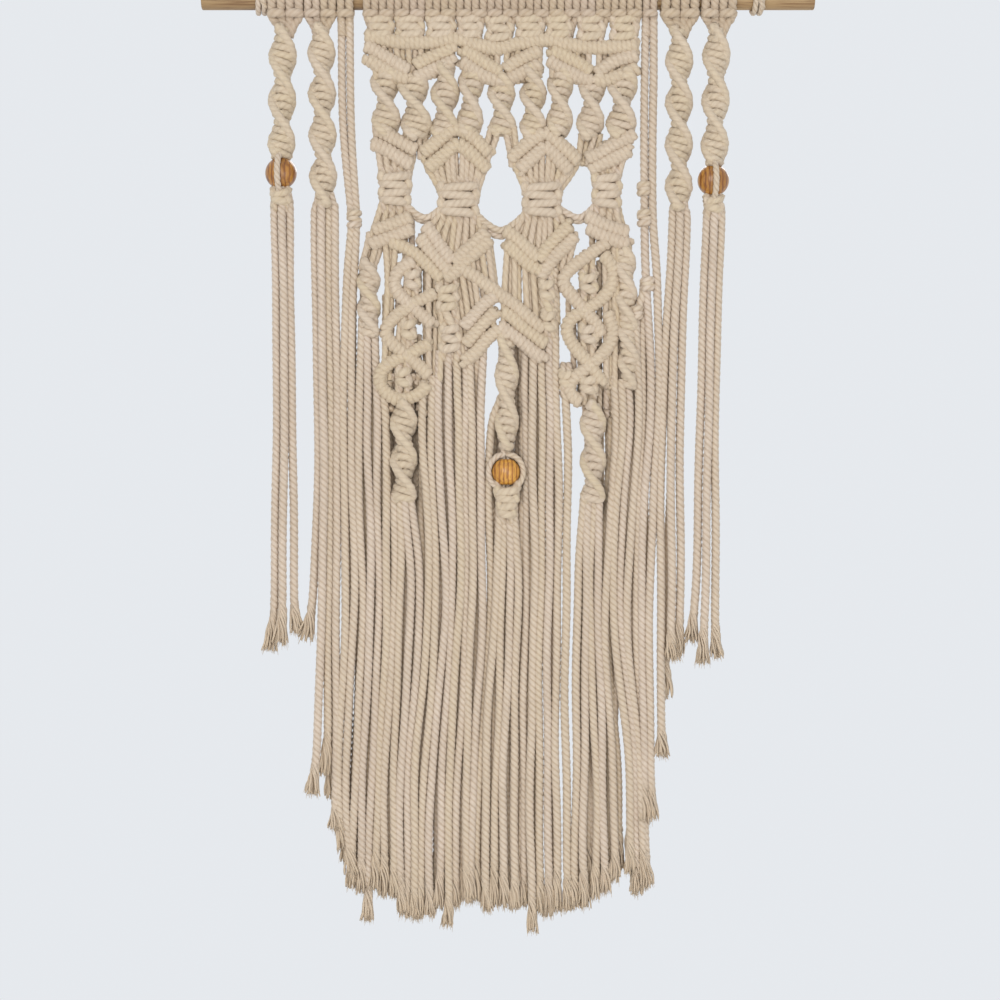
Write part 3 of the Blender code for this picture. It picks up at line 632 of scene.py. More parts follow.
def cotton():
    """Twisted cotton rope: pale plies, painted shade in the grooves and creases, warm frayed ends and
    fine fibres.
    """
    material, tree, principled = shader("cotton_rope", 0.92)
    marks = {}
    for mark in ("groove", "fray", "tint", "lie"):
        node = added(tree, "Attribute", {})
        node.attribute_name = mark
        marks[mark] = node.outputs["Vector" if mark == "lie" else "Fac"]
    objects = object_places(tree)
    patches = noise(tree, objects, 22.0, 2.0)
    fibres = noise(tree, marks["lie"], 2.1, 2.0, (1.0, 1.0, 0.10))
    fuzz = noise(tree, objects, 1500.0, 1.0)
    base = mixed(tree, ramp(tree, patches, 0.35, 0.65), (0.58, 0.478, 0.386), (0.635, 0.532, 0.44))
    base = mixed(tree, marks["tint"], base, (0.585, 0.48, 0.33))
    base = mixed(tree, marks["fray"], base, (0.565, 0.44, 0.305))
    base = mixed(tree, ramp(tree, fibres, 0.30, 0.52), (0.52, 0.42, 0.32), base)
    # Painted shade: the groove mark darkens the grooves between the plies.
    dark = mixed(tree, marks["groove"], (1.0, 1.0, 1.0), (0.80, 0.74, 0.67))
    base = mixed(tree, 1.0, base, dark, "MULTIPLY")
    # Painted shade: ambient occlusion darkens the creases and slits between cords.
    occlusion = added(tree, "AmbientOcclusion", {"Distance": 0.005})
    occlusion.samples = 6
    open_share = ramp(tree, occlusion.outputs["AO"], 0.04, 0.46)
    crease_shade = mixed(tree, open_share, (0.70, 0.63, 0.55), (1.0, 1.0, 1.0))
    feed(tree, principled, {
        "Base Color": mixed(tree, 1.0, base, crease_shade, "MULTIPLY"),
        "Sheen Weight": 0.22,
        "Sheen Roughness": 0.55,
        "Sheen Tint": (1.0, 0.95, 0.86),
        "Specular IOR Level": 0.25,
    })
    bumped(tree, principled, ((fibres, 0.0004), (fuzz, 0.0002)))
    return material


def wood(name, colours, stretch, roughness, coat, bands=0.0):
    """Wood with its grain along one axis, and growth rings where bands is above 0."""
    material, tree, principled = shader(name, roughness)
    objects = object_places(tree)
    grain = noise(tree, objects, 520.0, 3.0, stretch)
    cloud = noise(tree, objects, 60.0, 2.0, stretch)
    base = mixed(tree, ramp(tree, cloud, 0.3, 0.7), *colours)
    line = mixed(tree, ramp(tree, grain, 0.36, 0.52), (0.62, 0.52, 0.44), (1.0, 1.0, 1.0))
    base = mixed(tree, 1.0, base, line, "MULTIPLY")
    if bands:
        inputs = {"Scale": bands, "Distortion": 2.2, "Detail Scale": 1.4, "Vector": objects}
        ring = ramp(tree, added(tree, "TexWave", inputs).outputs["Fac"], 0.05, 0.45)
        base = mixed(tree, ring, mixed(tree, 1.0, base, (0.55, 0.42, 0.32), "MULTIPLY"), base)
    feed(tree, principled, {"Base Color": base, "Coat Weight": coat, "Coat Roughness": 0.18})
    bumped(tree, principled, ((grain, 0.00015),))
    return material


def plain(name, colour):
    """The floor's pale finish."""
    material, tree, principled = shader(name, 0.8)
    shade = tuple(part * 0.97 for part in colour)
    finish = mixed(tree, noise(tree, object_places(tree), 3.0), colour, shade)
    feed(tree, principled, {"Base Color": finish})
    return material


# ---------------------------------------------------------------- meshes

def even(route, step):
    """Places at even steps along straight runs between a route's points."""
    route = np.asarray(route, float)
    reach = lengths(route)
    goals = np.linspace(0.0, reach[-1], max(2, round(reach[-1] / step)) + 1)
    return np.stack([np.interp(goals, reach, route[:, axis]) for axis in range(3)], axis=1)


def lengths(points):
    """How far along a line each of its points lies."""
    return np.concatenate([[0.0], np.cumsum(np.linalg.norm(np.diff(points, axis=0), axis=1))])


def smooth(route, step):
    """Places at even steps on a smooth curve through a route's points."""
    route = np.asarray(route, float)
    ends = np.vstack([2 * route[0] - route[1], route, 2 * route[-1] - route[-2]])
    share = np.linspace(0.0, 1.0, 8, endpoint=False)[:, None]
    parts = []
    for a, b, c, d in zip(ends, ends[1:], ends[2:], ends[3:]):
        parts.append(0.5 * (2 * b + (c - a) * share + (2 * a - 5 * b + 4 * c - d) * share ** 2
                            + (3 * b - a - 3 * c + d) * share ** 3))
    return even(np.vstack(parts + [route[-1:]]), step)


def flat(route, y=PANEL_Y):
    """A route of x, z points at one depth."""
    return [(x, y, z) for x, z in route]


def frames(points):
    """Two directions across a line at each of its points, without twist."""
    ways = np.gradient(points, axis=0)
    ways /= np.linalg.norm(ways, axis=1)[:, None] + 1e-12
    guide = (0.0, 1.0, 0.0) if abs(ways[0][1]) < 0.9 else (1.0, 0.0, 0.0)
    side = np.cross(ways[0], guide)
    sides = []
    for way in ways:
        side = side - way * np.dot(side, way)
        side = side / np.linalg.norm(side)
        sides.append(side)
    sides = np.array(sides)
    return sides, np.cross(ways, sides)


def skin(index):
    """Faces between rings of points: index has a row of numbers for each ring."""
    after = np.roll(index, -1, axis=1)
    return np.stack([index[:-1], after[:-1], after[1:], index[1:]], axis=-1).reshape(-1, 4)


def new_mesh(name, places, faces, material):
    """A smooth mesh from places in millimetres."""
    mesh = bpy.data.meshes.new(name)
    places = np.vstack(places)
    places[:, 2] -= HANGER_RISE
    mesh.from_pydata((places * MM).tolist(), [], faces)
    mesh.shade_smooth()
    mesh.materials.append(material)
    return mesh


def placed(mesh, node):
    """A mesh as one object that stands for a CAD node."""
    made = bpy.data.objects.new(mesh.name, mesh)
    bpy.context.scene.collection.objects.link(made)
    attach(made, "root")
    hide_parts(node)
    return made


class Yarn:
    """Ropes gathered into one mesh, with marks for the cotton material, painted groove shade among
    them.
    """

    def __init__(self, seed):
        self.dice = random.Random(seed)
        self.places = []
        self.quads = []
        self.caps = []
        self.marks = []
        self.count = 0

    def sweep(self, points, angles, radii, groove, fray, tint, start=0.0):
        """A closed tube along points. angles and radii have a row for each point."""
        sides, others = frames(points)
        rings, corners = radii.shape
        out = (np.cos(angles)[..., None] * sides[:, None, :]
               + np.sin(angles)[..., None] * others[:, None, :])
        self.places.append((points[:, None, :] + radii[..., None] * out).reshape(-1, 3))
        index = self.count + np.arange(rings * corners).reshape(rings, corners)
        self.quads.append(skin(index))
        self.caps += [index[0][::-1].tolist(), index[-1].tolist()]
        self.count += rings * corners
        turn = angles[0] - angles[0][0]
        marks = (radii * np.cos(turn), radii * np.sin(turn), start + lengths(points)[:, None],
                 groove, fray[:, None], tint)
        self.marks.append(np.stack(np.broadcast_arrays(*marks), axis=-1).reshape(-1, 6))

    def rope(self, points, thickness=CORD, fray=0.0, spread=1.0, lay=LAY, deep=None, shade=0.0,
             ply=PLY, brush=FRONT_BRUSH):
        """A three-ply rope along even points.

        fray is the length of its open end, and spread how wide that opens. deep is the radius
        in the grooves, as a share, and shade the least painted shade that any of it gets.
        """
        phase = self.dice.uniform(0.0, math.tau)
        tint = self.dice.uniform(0.0, 0.6) + (0.3 if deep else 0.0)
        gap = float(np.linalg.norm(points[1] - points[0]))
        last = len(points) - 1 - round(fray / gap)
        body = points[:last + 1]
        turns = phase - np.arange(len(body)) * gap * math.tau / lay
        outline = np.radians([120.0 * strand + place for strand in range(3) for place, _ in ply])
        shares = np.array([share for _, share in ply] * 3)
        if deep is not None:
            shares = np.where(shares < 1.0, deep, shares)
        angles = outline[None, :] + turns[:, None]
        radii = np.repeat(shares[None, :] * thickness / 2, len(body), axis=0)
        # The groove mark paints shade into the grooves between the plies, and never less than shade
        # anywhere.
        groove = np.clip((1.0 - shares) / (1.0 - GROOVE), shade, 1.0)
        warm = np.zeros(len(body))
        if fray:
            left = (last - np.arange(len(body))) * gap
            warm = np.clip(1.0 - left / WARM_REACH, 0.0, 1.0) * WARMTH
            radii = radii * np.clip(NECK + left / NECK_TAPER, 0.0, 1.0)[:, None]
        self.sweep(body, angles, radii, groove, warm, tint, self.dice.uniform(0, PATTERN))
        if fray:
            self.open_end(points[last - OVERLAP:], turns[-1], thickness, spread, tint, brush)

    def open_end(self, points, turn, thickness, spread, tint, brush):
        """A soft brush of loose locks and fine fibres."""
        dice = self.dice
        locks, fibres, thick = brush
        points = even(points, BRUSH_STEP)
        sides, others = frames(points)
        share = np.linspace(0.0, 1.0, len(points))
        lean = dice.uniform(-1.0, 1.0) * spread * 1.8
        turning = np.cumsum(math.tau * BRUSH_STEP / LAY * (1.0 - share) ** 1.7)
        radius = thickness * (0.18 - 0.03 * share - 0.07 * share ** 12) * thick
        tips = []
        for lock in range(locks):
            angle = turn + lock * GOLDEN_ANGLE + dice.uniform(-0.3, 0.3) - turning
            out = math.sqrt((lock + 0.5) / locks) * thickness * 0.38
            out = out * (1.0 + 1.05 * spread * share ** 2.0 * dice.uniform(0.6, 1.4))
            wave = 0.5 * share * np.sin(share * dice.uniform(7, 15) + dice.uniform(0, 6))
            middle = points + (out * np.cos(angle) + wave)[:, None] * sides
            middle = middle + (0.75 * out * np.sin(angle))[:, None] * others
            middle[:, 0] += lean * share ** 2
            middle[:, 2] += dice.uniform(-2.6, 2.6) * share ** 3
            self.thread(middle, radius, dice.uniform(0, 1), 0.3 + 0.7 * share, tint,
                        dice.uniform(0, PATTERN))
            tips.append(middle)
        for fibre in range(fibres):
            self.fibre(tips[fibre % locks], thickness, spread, tint)

    def fibre(self, middle, thickness, spread, tint):
        """One fine loose fibre that starts in a lock and passes its tip."""
        dice = self.dice
        root = middle[round((len(middle) - 1) * dice.uniform(0.3, 0.8))]
        tip = middle[-1]
        over = dice.uniform(0.5, 4.0)
        drift = np.array((dice.uniform(-1, 1), dice.uniform(-1, 1) * 0.7, 0.0))
        drift = drift * thickness * 0.22 * spread
        points = []
        for step in range(4):
            part = step / 3
            bow = math.sin(part * math.pi) * dice.uniform(-0.4, 0.4)
            place = root + (tip - root) * part + drift * part ** 1.3
            points.append(place + np.array((bow, 0.0, -over * part)))
        self.thread(np.array(points), np.array((0.36, 0.38, 0.32, 0.12)), 0.0,
                    np.full(4, dice.uniform(0.5, 1.0)), tint)

    def thread(self, points, radius, turn, fray, tint, start=0.0):
        """A thin tube of three sides."""
        around = np.arange(3) * math.tau / 3 + turn
        angles = np.repeat(around[None, :], len(points), axis=0)
        radii = np.repeat(radius[:, None], 3, axis=1)
        self.sweep(points, angles, radii, np.zeros(3), fray, tint, start)

    def piece(self, name, node):
        """The gathered ropes as one object that stands for a CAD node."""
        faces = np.vstack(self.quads).tolist() + self.caps
        mesh = new_mesh(name, self.places, faces, COTTON)
        marks = np.vstack(self.marks).astype(np.float32)
        lie = mesh.attributes.new("lie", "FLOAT_VECTOR", "POINT")
        lie.data.foreach_set("vector", marks[:, :3].ravel())
        for column, mark in enumerate(("groove", "fray", "tint"), 3):
            layer = mesh.attributes.new(mark, "FLOAT", "POINT")
            layer.data.foreach_set("value", marks[:, column].ravel())
        return placed(mesh, node)


# ---------------------------------------------------------------- knots

def larks_head(yarn, middle, spacing, aim, pull):
    """A folded rope hitched on the dowel. Its ends run down to the knot at aim."""
    ring = DOWEL_RADIUS + TIGHT_CORD / 2 + 0.1
    lane = spacing / 4
    halves = []
    for side in (-1, 1):
        x = middle + side * lane
        half = [(aim + (x - aim) * pull, PANEL_Y + side, -31.0),
                (aim + (x - aim) * (1.0 + pull) / 2, PANEL_Y, -21.0), (x, -6.4, -15.0)]
        for degrees in range(-40, 276, 30):
            angle = math.radians(degrees)
            half.append((x, -ring * math.cos(angle), ring * math.sin(angle)))
        half += [(middle + side * lane * 1.25, -5.0, -12.8),
                 (middle + side * lane * 1.15, -9.4, -13.2),
                 (middle + side * lane * 0.5, -11.0, -13.2)]
        halves.append(half)
    front_of_fold = (middle, -11.4, -13.2)
    whole = halves[0] + [front_of_fold] + halves[1][::-1]
    # shade=0.5 paints shade over the whole hitched rope, crests as well as grooves.
    yarn.rope(smooth(whole, STEP), spacing / 2 + 0.6, shade=0.5)


def hitched(yarn, piece, pull, knots=()):
    """A piece's folded ropes on the dowel, drawn to knots, two to each, or to their middle."""
    first, last, ropes = HITCHES[piece]
    spacing = (last - first) / ropes
    for rope in range(ropes):
        aim = knots[rope // 2][0] if knots else (first + last) / 2
        larks_head(yarn, first + (rope + 0.5) * spacing, spacing, aim, pull)


def half_knots(yarn, stops, depth, spiral, thickness):
    """Two working cords tied round what hangs between them.

    stops run down the knots: middle x, middle z, half width, turn, height of the half knot, or
    no height where the cords only pass.
    """
    cords = {-1: [], 1: []}
    now = dict(cords)
    for number, (x, z, half, turn, height) in enumerate(stops):
        side = -1 if spiral or number % 2 == 0 else 1
        if height:
            ways = ((now[side], side, OVER), (now[-side], side, UNDER))
            now = {side: now[-side], -side: now[side]}
        else:
            ways = ((now[-1], -1, PASSES), (now[1], 1, PASSES))
        for cord, sign, places in ways:
            for share, past, away, up in places:
                across = sign * (share * half + past)
                back = away * depth
                cord.append((x + across * math.cos(turn) - back * math.sin(turn),
                             PANEL_Y + across * math.sin(turn) + back * math.cos(turn),
                             z + up * height))
    for side in (-1, 1):
        yarn.rope(smooth(cords[side], STEP), thickness, deep=TIGHT_GROOVE)


def waist(yarn, x_top, top, width_top, x_foot, foot, width_foot):
    """Four cords between two knots. The front one crosses from left to right."""
    for side, away in ((1, -2.2), (-1, 1.7)):
        start = x_top - side * (width_top - TIGHT_CORD) / 2
        end = x_foot + side * (width_foot - TIGHT_CORD) / 2
        points = [(start, PANEL_Y + away * 0.5, top + 3.0), (start, PANEL_Y + away, top),
                  ((start + end) / 2, PANEL_Y + away * 1.5, (top + foot) / 2),
                  (end, PANEL_Y + away, foot), (end, PANEL_Y + away * 0.5, foot - 3.0)]
        yarn.rope(smooth(points, STEP), KNOT_CORD, deep=TIGHT_GROOVE)
        points = [(x_top + side * 4.0, top + 3.0),
                  ((x_top + x_foot) / 2 + side * 3.0, (top + foot) / 2),
                  (x_foot + side * 4.0, foot - 3.0)]
        yarn.rope(smooth(flat(points, PANEL_Y + 0.8), STEP), TIGHT_CORD)


def spiral_sinnet(yarn, x_top, x_foot, top, foot, width, bulge, spacing):
    """A column of half knots that turns as it goes down, with a cord along each edge."""
    rows = round((top - foot) / HALF_KNOT)
    half = width / 2 - SPIRAL_CORD / 2

    def level(share):
        """The sinnet's middle, height and turn at a share of the way down."""
        z = top + (foot - top) * share
        return x_top + (x_foot - x_top) * share, z, math.pi * (bulge - z) / spacing

    stops = []
    for row in range(rows):
        x, z, turn = level((row + 0.5) / rows)
        wide = (half - SPIRAL_INSET) * yarn.dice.uniform(0.96, 1.04)
        stops.append((x, z, wide, turn, (top - foot) / rows))
    half_knots(yarn, stops, SPIRAL_DEPTH, True, SPIRAL_CORD)
    for side in (-1, 1):
        route = []
        for step in range(rows * 3 + 1):
            share = step / (rows * 3)
            x, z, turn = level(share)
            out = side * half * (1.0 - 0.5 * abs(2 * share - 1) ** 12)
            out *= 1.0 + 0.035 * math.sin(math.tau * step / 3)
            route.append((x + out * math.cos(turn), PANEL_Y + 1.12 * out * math.sin(turn), z))
        yarn.rope(smooth(route, STEP), SPIRAL_CORD, deep=TIGHT_GROOVE)
    core = flat([(x_top, top - 2.0), (x_foot, foot + 2.0)])
    yarn.rope(even(core, LONG_STEP), SPIRAL_CORE, ply=PLAIN_PLY)


def square_knot(yarn, x, top, foot, width_top, width_foot, rows, depth):
    """Half knots one under the other round a bundle of cords."""
    height = (top - foot) / rows
    thickness = max(min(KNOT_CORD + 0.6, height * 1.24), TIGHT_CORD - 0.4)
    stops = [(x, top + 2.0, width_top * 0.36, 0.0, 0.0)]
    for row in range(rows):
        share = (row + 0.5) / rows
        width = width_top + (width_foot - width_top) * share
        stops.append((x + yarn.dice.uniform(-0.4, 0.4), top + (foot - top) * share,
                      width / 2 - thickness / 2, yarn.dice.uniform(-0.03, 0.03), height))
    stops.append((x, foot - 2.0, width_foot * 0.32, 0.0, 0.0))
    half_knots(yarn, stops, depth, False, thickness)
    lead = max(1, round((min(width_top, width_foot) - 9.0) / 5.5))
    for cord in range(lead + 1):
        x_top = x + (cord / lead - 0.5) * (width_top - 8.0)
        x_foot = x + (cord / lead - 0.5) * (width_foot - 8.0)
        route = [(x_top, PANEL_Y + 1.2, top + LEAD), (x_top, PANEL_Y - 2.4, top),
                 (x_foot, PANEL_Y - 2.4, foot), (x_foot, PANEL_Y + 1.2, foot - LEAD)]
        yarn.rope(smooth(route, LONG_STEP), TIGHT_CORD, ply=PLAIN_PLY)


def hitch_row(yarn, points, width):
    """One row of double half hitches: wraps side by side, so close that they hide their core."""
    line = smooth(flat(points, 0.0), EDGE_STEP)
    padded = np.pad(line, ((BEND, BEND), (0, 0)), "edge")
    line = np.array([padded[i:i + 2 * BEND + 1].mean(axis=0) for i in range(len(line))])
    line = even(line, FINE)
    ways = np.gradient(line, axis=0)
    ways /= np.linalg.norm(ways, axis=1)[:, None]
    across = np.stack([ways[:, 2], np.zeros(len(line)), -ways[:, 0]], axis=1)
    passed = np.arange(len(line)) * FINE
    lag = yarn.dice.uniform(0.0, math.tau)
    angle = math.tau * passed / WRAP_PITCH + 0.35 * np.sin(passed / 9.0 + lag) + lag
    depth = (width - WRAP_CORD) / 2 * (1.0 + 0.07 * np.sin(passed / 5.3 + lag))
    route = line + across * (depth * np.cos(angle))[:, None]
    route[:, 1] = PANEL_Y - BAR_AWAY + 0.85 * depth * np.sin(angle)
    route = route - ways * (0.4 * np.cos(angle))[:, None]
    yarn.rope(even(route, WRAP_STEP), WRAP_CORD, lay=WRAP_LAY, deep=WRAP_GROOVE, ply=PLAIN_PLY)


def along(x_left, z_left, x_right, z_right, share):
    """The point at a share of an edge's length."""
    line = even(flat([(x_left, z_left), (x_right, z_right)]), EDGE_STEP)
    return line[round(share * (len(line) - 1))]


def web(yarn, cords, upper, lower):
    """Cords that run side by side from one edge to another, in two uneven layers."""
    for cord in range(cords):
        share = (cord + 0.5) / cords
        x_top, _, top = along(*upper, share)
        x_foot, _, foot = along(*lower, share)
        away = PANEL_Y + (WEB_AWAY if cord % 2 else -WEB_AWAY) + yarn.dice.uniform(-0.4, 0.4)
        x_middle = (x_top + x_foot) / 2 + yarn.dice.uniform(-0.6, 0.6)
        route = [(x_top, PANEL_Y, top + 3.0), (x_top, away, top),
                 (x_middle, away, (top + foot) / 2), (x_foot, away, foot),
                 (x_foot, PANEL_Y, foot - 3.0)]
        yarn.rope(smooth(route, STEP), FAN_CORD, deep=FAN_GROOVE, ply=PLAIN_PLY)


def back_run(yarn, x, top, foot):
    """A short cord that runs down behind the knots."""
    away = PANEL_Y + RUNS_AWAY
    hidden = away + 2.6
    end = PANEL_Y if foot <= TAIL_TOP else hidden
    run = [(x, hidden, top), (x, away, top - 4.0), (x, away, foot + 6.0), (x, end, foot)]
    yarn.rope(smooth(run, LONG_STEP), FAN_CORD, ply=PLAIN_PLY)


def link(yarn, route):
    """Two cords, one under the other, that cross between two binding knots."""
    lower = [(x, z - LINK_DROP * (0.5 if z > LINK_FOOT else 1.0)) for x, z in route]
    for points, away in ((route, -1.4), (lower, 1.0)):
        yarn.rope(smooth(flat(points, PANEL_Y + away), STEP), TIGHT_CORD)


def overhand(yarn, x, z, width, height):
    """An overhand knot of two cords: three turns, one of them aslant."""
    half = width / 2 - TIGHT_CORD / 2
    for row, tilt in ((-1, 0.10), (0, -0.32), (1, 0.12)):
        ring = []
        for step in range(13):
            angle = math.tau * step / 12
            across = half * math.cos(angle)
            ring.append((x + across, PANEL_Y + 4.6 * math.sin(angle),
                         z - row * (height / 2 - TIGHT_CORD / 2) + tilt * across))
        yarn.rope(smooth(ring, STEP), TIGHT_CORD)


def cords_at_bead(yarn, x, z, radius, lane):
    """The cords that pass through a bead and round it, and the knot under an outer bead."""
    reach = radius + 7.0
    for side in (-1, 1):
        inner = x + side * 1.7
        yarn.rope(even(flat([(inner, z + reach), (inner, z - reach)]), STEP), BORE_CORD)
    clear = radius + BEAD_CORD / 2 + 0.1
    for side in (-1, 1):
        route = []
        if lane is None:
            route.append((x + side * 2.6, PANEL_Y + side * 1.2, z + clear + 6.0))
        for step in range(9):
            angle = math.pi * (0.03 + 0.94 * step / 8)
            out = math.sin(angle) * clear
            up = math.cos(angle) * (clear + 0.6)
            if lane is None:
                route.append((x + side * out, PANEL_Y - 1.5, z + up))
            elif side < 0:
                route.append((x + (lane - x) * math.sin(angle), PANEL_Y - out + 0.5, z + up))
            else:
                route.append((x - 1.0, PANEL_Y + out, z + up))
        yarn.rope(smooth(route, STEP), BEAD_CORD)
    if lane is not None:
        low = z - radius - 1.0
        square_knot(yarn, x, low, low - 12.0, 17.0, 17.0, 2, 4.8)


def at_beads(yarn, piece):
    """The cords at each of a piece's beads."""
    for _, owner, *row in BEADS:
        if owner == piece:
            cords_at_bead(yarn, *row)


# ---------------------------------------------------------------- strands

def pushed_back(places):
    """How far the panel's low sinnets and its bead push back what hangs behind them."""
    thick = [(x, top, foot, width / 2)
             for _, x, top, foot, width, *_ in SPIRALS["panel"] if foot < LOW_FOOT]
    thick += [(x, z + radius, z - radius, radius)
              for _, piece, x, z, radius, _ in BEADS if piece == "panel"]
    push = np.zeros(len(places))
    for x, top, foot, half in thick:
        beside = np.clip((half + CORD / 2 - np.abs(places[:, 0] - x)) / 4.0, 0.0, 1.0)
        above = np.clip((places[:, 2] - foot) / PUSH_EASE + 1.0, 0.0, 1.0)
        below = np.clip((top - places[:, 2]) / PUSH_EASE + 1.0, 0.0, 1.0)
        push = np.maximum(push, PUSH * beside * above * below)
    return push


def hanging(yarn, route, y, spread=1.0, sway=1.0, behind=False):
    """A strand that hangs free to an open, frayed end, and sways a little."""
    dice = yarn.dice
    lag = dice.uniform(0.0, math.tau)
    places = smooth(flat(route, y), 8.0)
    fall = places[0][2] - places[:, 2]
    ease = np.clip(fall / SWAY_EASE, 0.0, 1.0) * sway
    for axis, reach, wave, lags in SWAYS:
        places[:, axis] += ease * reach * np.sin(fall / wave + lag * lags)
    fray = dice.uniform(SHORT_FRAY, LONG_FRAY)
    if behind:
        places[:, 1] += pushed_back(places) - TUCK * np.clip(1.0 - fall / TUCK_REACH, 0.0, 1.0)
        yarn.rope(smooth(places, LONG_STEP), CORD, fray, spread, ply=PLAIN_PLY, brush=BACK_BRUSH)
    else:
        yarn.rope(smooth(places, STEP), CORD, fray, spread)


def strand_route(x, z, across, x_end, end):
    """A strand's route from its root over the heights that lie well below it to its end."""
    heights = [(x_there, there) for x_there, there in zip(across, FRINGE_HEIGHTS) if there < z - 30]
    return [(x, z)] + heights + [(x_end, end)]


def strand_between(yarn, here, after):
    """A strand that hangs behind the gap between two strands of FRINGE."""
    x, z, *across, end, _ = here
    x_after, z_after, *across_after, end_after, _ = after
    root = min(z, z_after)
    if root < LOWEST_ROOT:
        root = max(z, z_after)
    share = yarn.dice.uniform(0.35, 0.65)
    across = [a + (b - a) * share for a, b in zip(across, across_after)]
    end = max(end, end_after) + yarn.dice.uniform(2, 14)
    route = strand_route(x + (x_after - x) * share, root, across, across[-1], end)
    hanging(yarn, route, PANEL_Y + BETWEEN_AWAY, behind=True)


# ---------------------------------------------------------------- pieces

def turned(name, rings, ends, sharp, material, node):
    """A turned wooden piece from rings of places, with flat ends, or closed ring to ring."""
    rings = np.array(rings)
    index = np.arange(rings.shape[0] * rings.shape[1]).reshape(rings.shape[:2])
    if ends:
        faces = skin(index).tolist() + [index[0][::-1].tolist(), index[-1].tolist()]
    else:
        faces = skin(np.vstack([index, index[:1]])).tolist()
    mesh = new_mesh(name, rings, faces, material)
    mesh.set_sharp_from_angle(angle=math.radians(sharp))
    placed(mesh, node)


def circle(radius, sides):
    """Places round a circle, as pairs."""
    angles = [math.tau * side / sides for side in range(sides)]
    return [(math.cos(angle) * radius, math.sin(angle) * radius) for angle in angles]


def make_dowel():
    """The dowel, with its edges eased."""
    half = DOWEL_LENGTH / 2
    edge = [(-half, DOWEL_RADIUS - DOWEL_EASE), (-half + 0.25, DOWEL_RADIUS - 0.35),
            (-half + DOWEL_EASE, DOWEL_RADIUS)]
    inner = [(x, DOWEL_RADIUS) for x in np.linspace(-half + 6.0, half - 6.0, 41)]
    sections = edge + inner + [(-x, radius) for x, radius in reversed(edge)]
    rings = [[(x, y, z) for y, z in circle(radius, 56)] for x, radius in sections]
    grain = (0.05, 1.0, 1.0)
    turned("dowel_rod", rings, True, 50, wood("dowel_wood", DOWEL_WOOD, grain, 0.5, 0.1),
           "dowel")


def make_bead(name, x, z, radius, colours, coat):
    """A turned bead with a bore and rounded edges round it."""
    edge = math.asin(BEAD_BORE / radius) * 1.12
    brim = math.cos(edge) * radius
    profile = [(BEAD_BORE + 0.15, brim + 0.05), (BEAD_BORE, brim - 0.5),
               (BEAD_BORE, -brim + 0.5), (BEAD_BORE + 0.15, -brim - 0.05)]
    for angle in np.linspace(math.pi - edge, edge, 25):
        profile.append((math.sin(angle) * radius, math.cos(angle) * radius))
    rings = [[(x + across, PANEL_Y + away, z + up) for across, away in circle(out, 48)]
             for out, up in profile]
    grain = (1.0, 1.0, 0.07)
    turned(name + "_turned", rings, False, 60,
           wood(name + "_wood", colours, grain, 0.34, coat, 92.0), name)


def make_panel():
    """The knotted part of the panel: hitches, knots, bars and fans of cords."""
    hitches = Yarn(11)
    hitched(hitches, "panel", 0.6, HEAD_KNOTS)
    hitches.piece("panel_hitches", "panel")
    knots = Yarn(12)
    for x, foot, width_top, width_foot in HEAD_KNOTS:
        square_knot(knots, x, HEAD_TOP, foot, width_top, width_foot, 3, 4.0)
    for row in SQUARE_KNOTS:
        square_knot(knots, *row)
    for row in WAISTS:
        waist(knots, *row)
    for row in SPIRALS["panel"]:
        spiral_sinnet(knots, *row)
    knots.piece("panel_sinnets", "panel")
    bars = Yarn(13)
    for width, rows in HITCH_ROWS.values():
        for points in rows:
            hitch_row(bars, points, width)
    bars.piece("panel_bars", "panel")
    nets = Yarn(14)
    for row in WEBS:
        web(nets, *row)
    for row in BACK_RUNS:
        back_run(nets, *row)
    for route in LINKS:
        link(nets, route)
    at_beads(nets, "panel")
    nets.piece("panel_nets", "panel")


def make_fringe():
    """The panel's hanging strands: those behind, and the others in three pieces."""
    behind = Yarn(20)
    for x, z, x_middle, x_end, end in BACK_STRANDS:
        route = [(x, z), (x_middle, FRINGE_HEIGHTS[1]), (x_end, end)]
        hanging(behind, route, PANEL_Y + BACK_AWAY, behind=True)
    behind.piece("fringe_behind", "panel")
    for seed, (name, start, stop) in enumerate(FRINGE_PIECES):
        yarn = Yarn(21 + seed)
        for x, z, *across, end, y in FRINGE[start:stop]:
            x_end = across[-1] + (across[-1] - across[-2]) * 0.25
            hanging(yarn, strand_route(x, z, across, x_end, end), y)
        for number in range(start, min(stop, len(FRINGE) - 1)):
            if number not in OPEN_AFTER:
                strand_between(yarn, FRINGE[number], FRINGE[number + 1])
        yarn.piece(name, "panel")


def make_side_sinnet(piece, seed):
    """A sinnet beside the panel, from its hitches to its hanging cords."""
    yarn = Yarn(seed)
    hitched(yarn, piece, 0.22)
    for row in SPIRALS[piece]:
        spiral_sinnet(yarn, *row)
    at_beads(yarn, piece)
    root, strands = SIDE_STRANDS[piece]
    middle = sum(strand[0] for strand in strands) / len(strands)
    for x, x_middle, x_end, end, y in strands:
        late = x_middle + (x_end - x_middle) * 0.35
        route = [(middle + (x - middle) * 0.5, root + 8.0),
                 (middle + (x - middle) * 0.85, root - 4.0), (x, root - 22.0),
                 (x_middle, (root + end) / 2), (late, end + 50.0), (x_end, end)]
        hanging(yarn, route, y, 1.4, 0.5)
    yarn.piece(piece + "_rope", piece)


def make_pair(piece, seed):
    """Two plain cords, knotted together here and there."""
    yarn = Yarn(seed)
    hitched(yarn, piece, 0.8)
    for knot in PAIR_KNOTS[piece]:
        overhand(yarn, *knot)
    for points in PAIR_STRANDS[piece]:
        if points[-1][1] < FREE_END:
            hanging(yarn, points, PANEL_Y, 1.2, 0.7)
        else:
            yarn.rope(smooth(flat(points), STEP), CORD - 0.3)
    yarn.piece(piece + "_rope", piece)


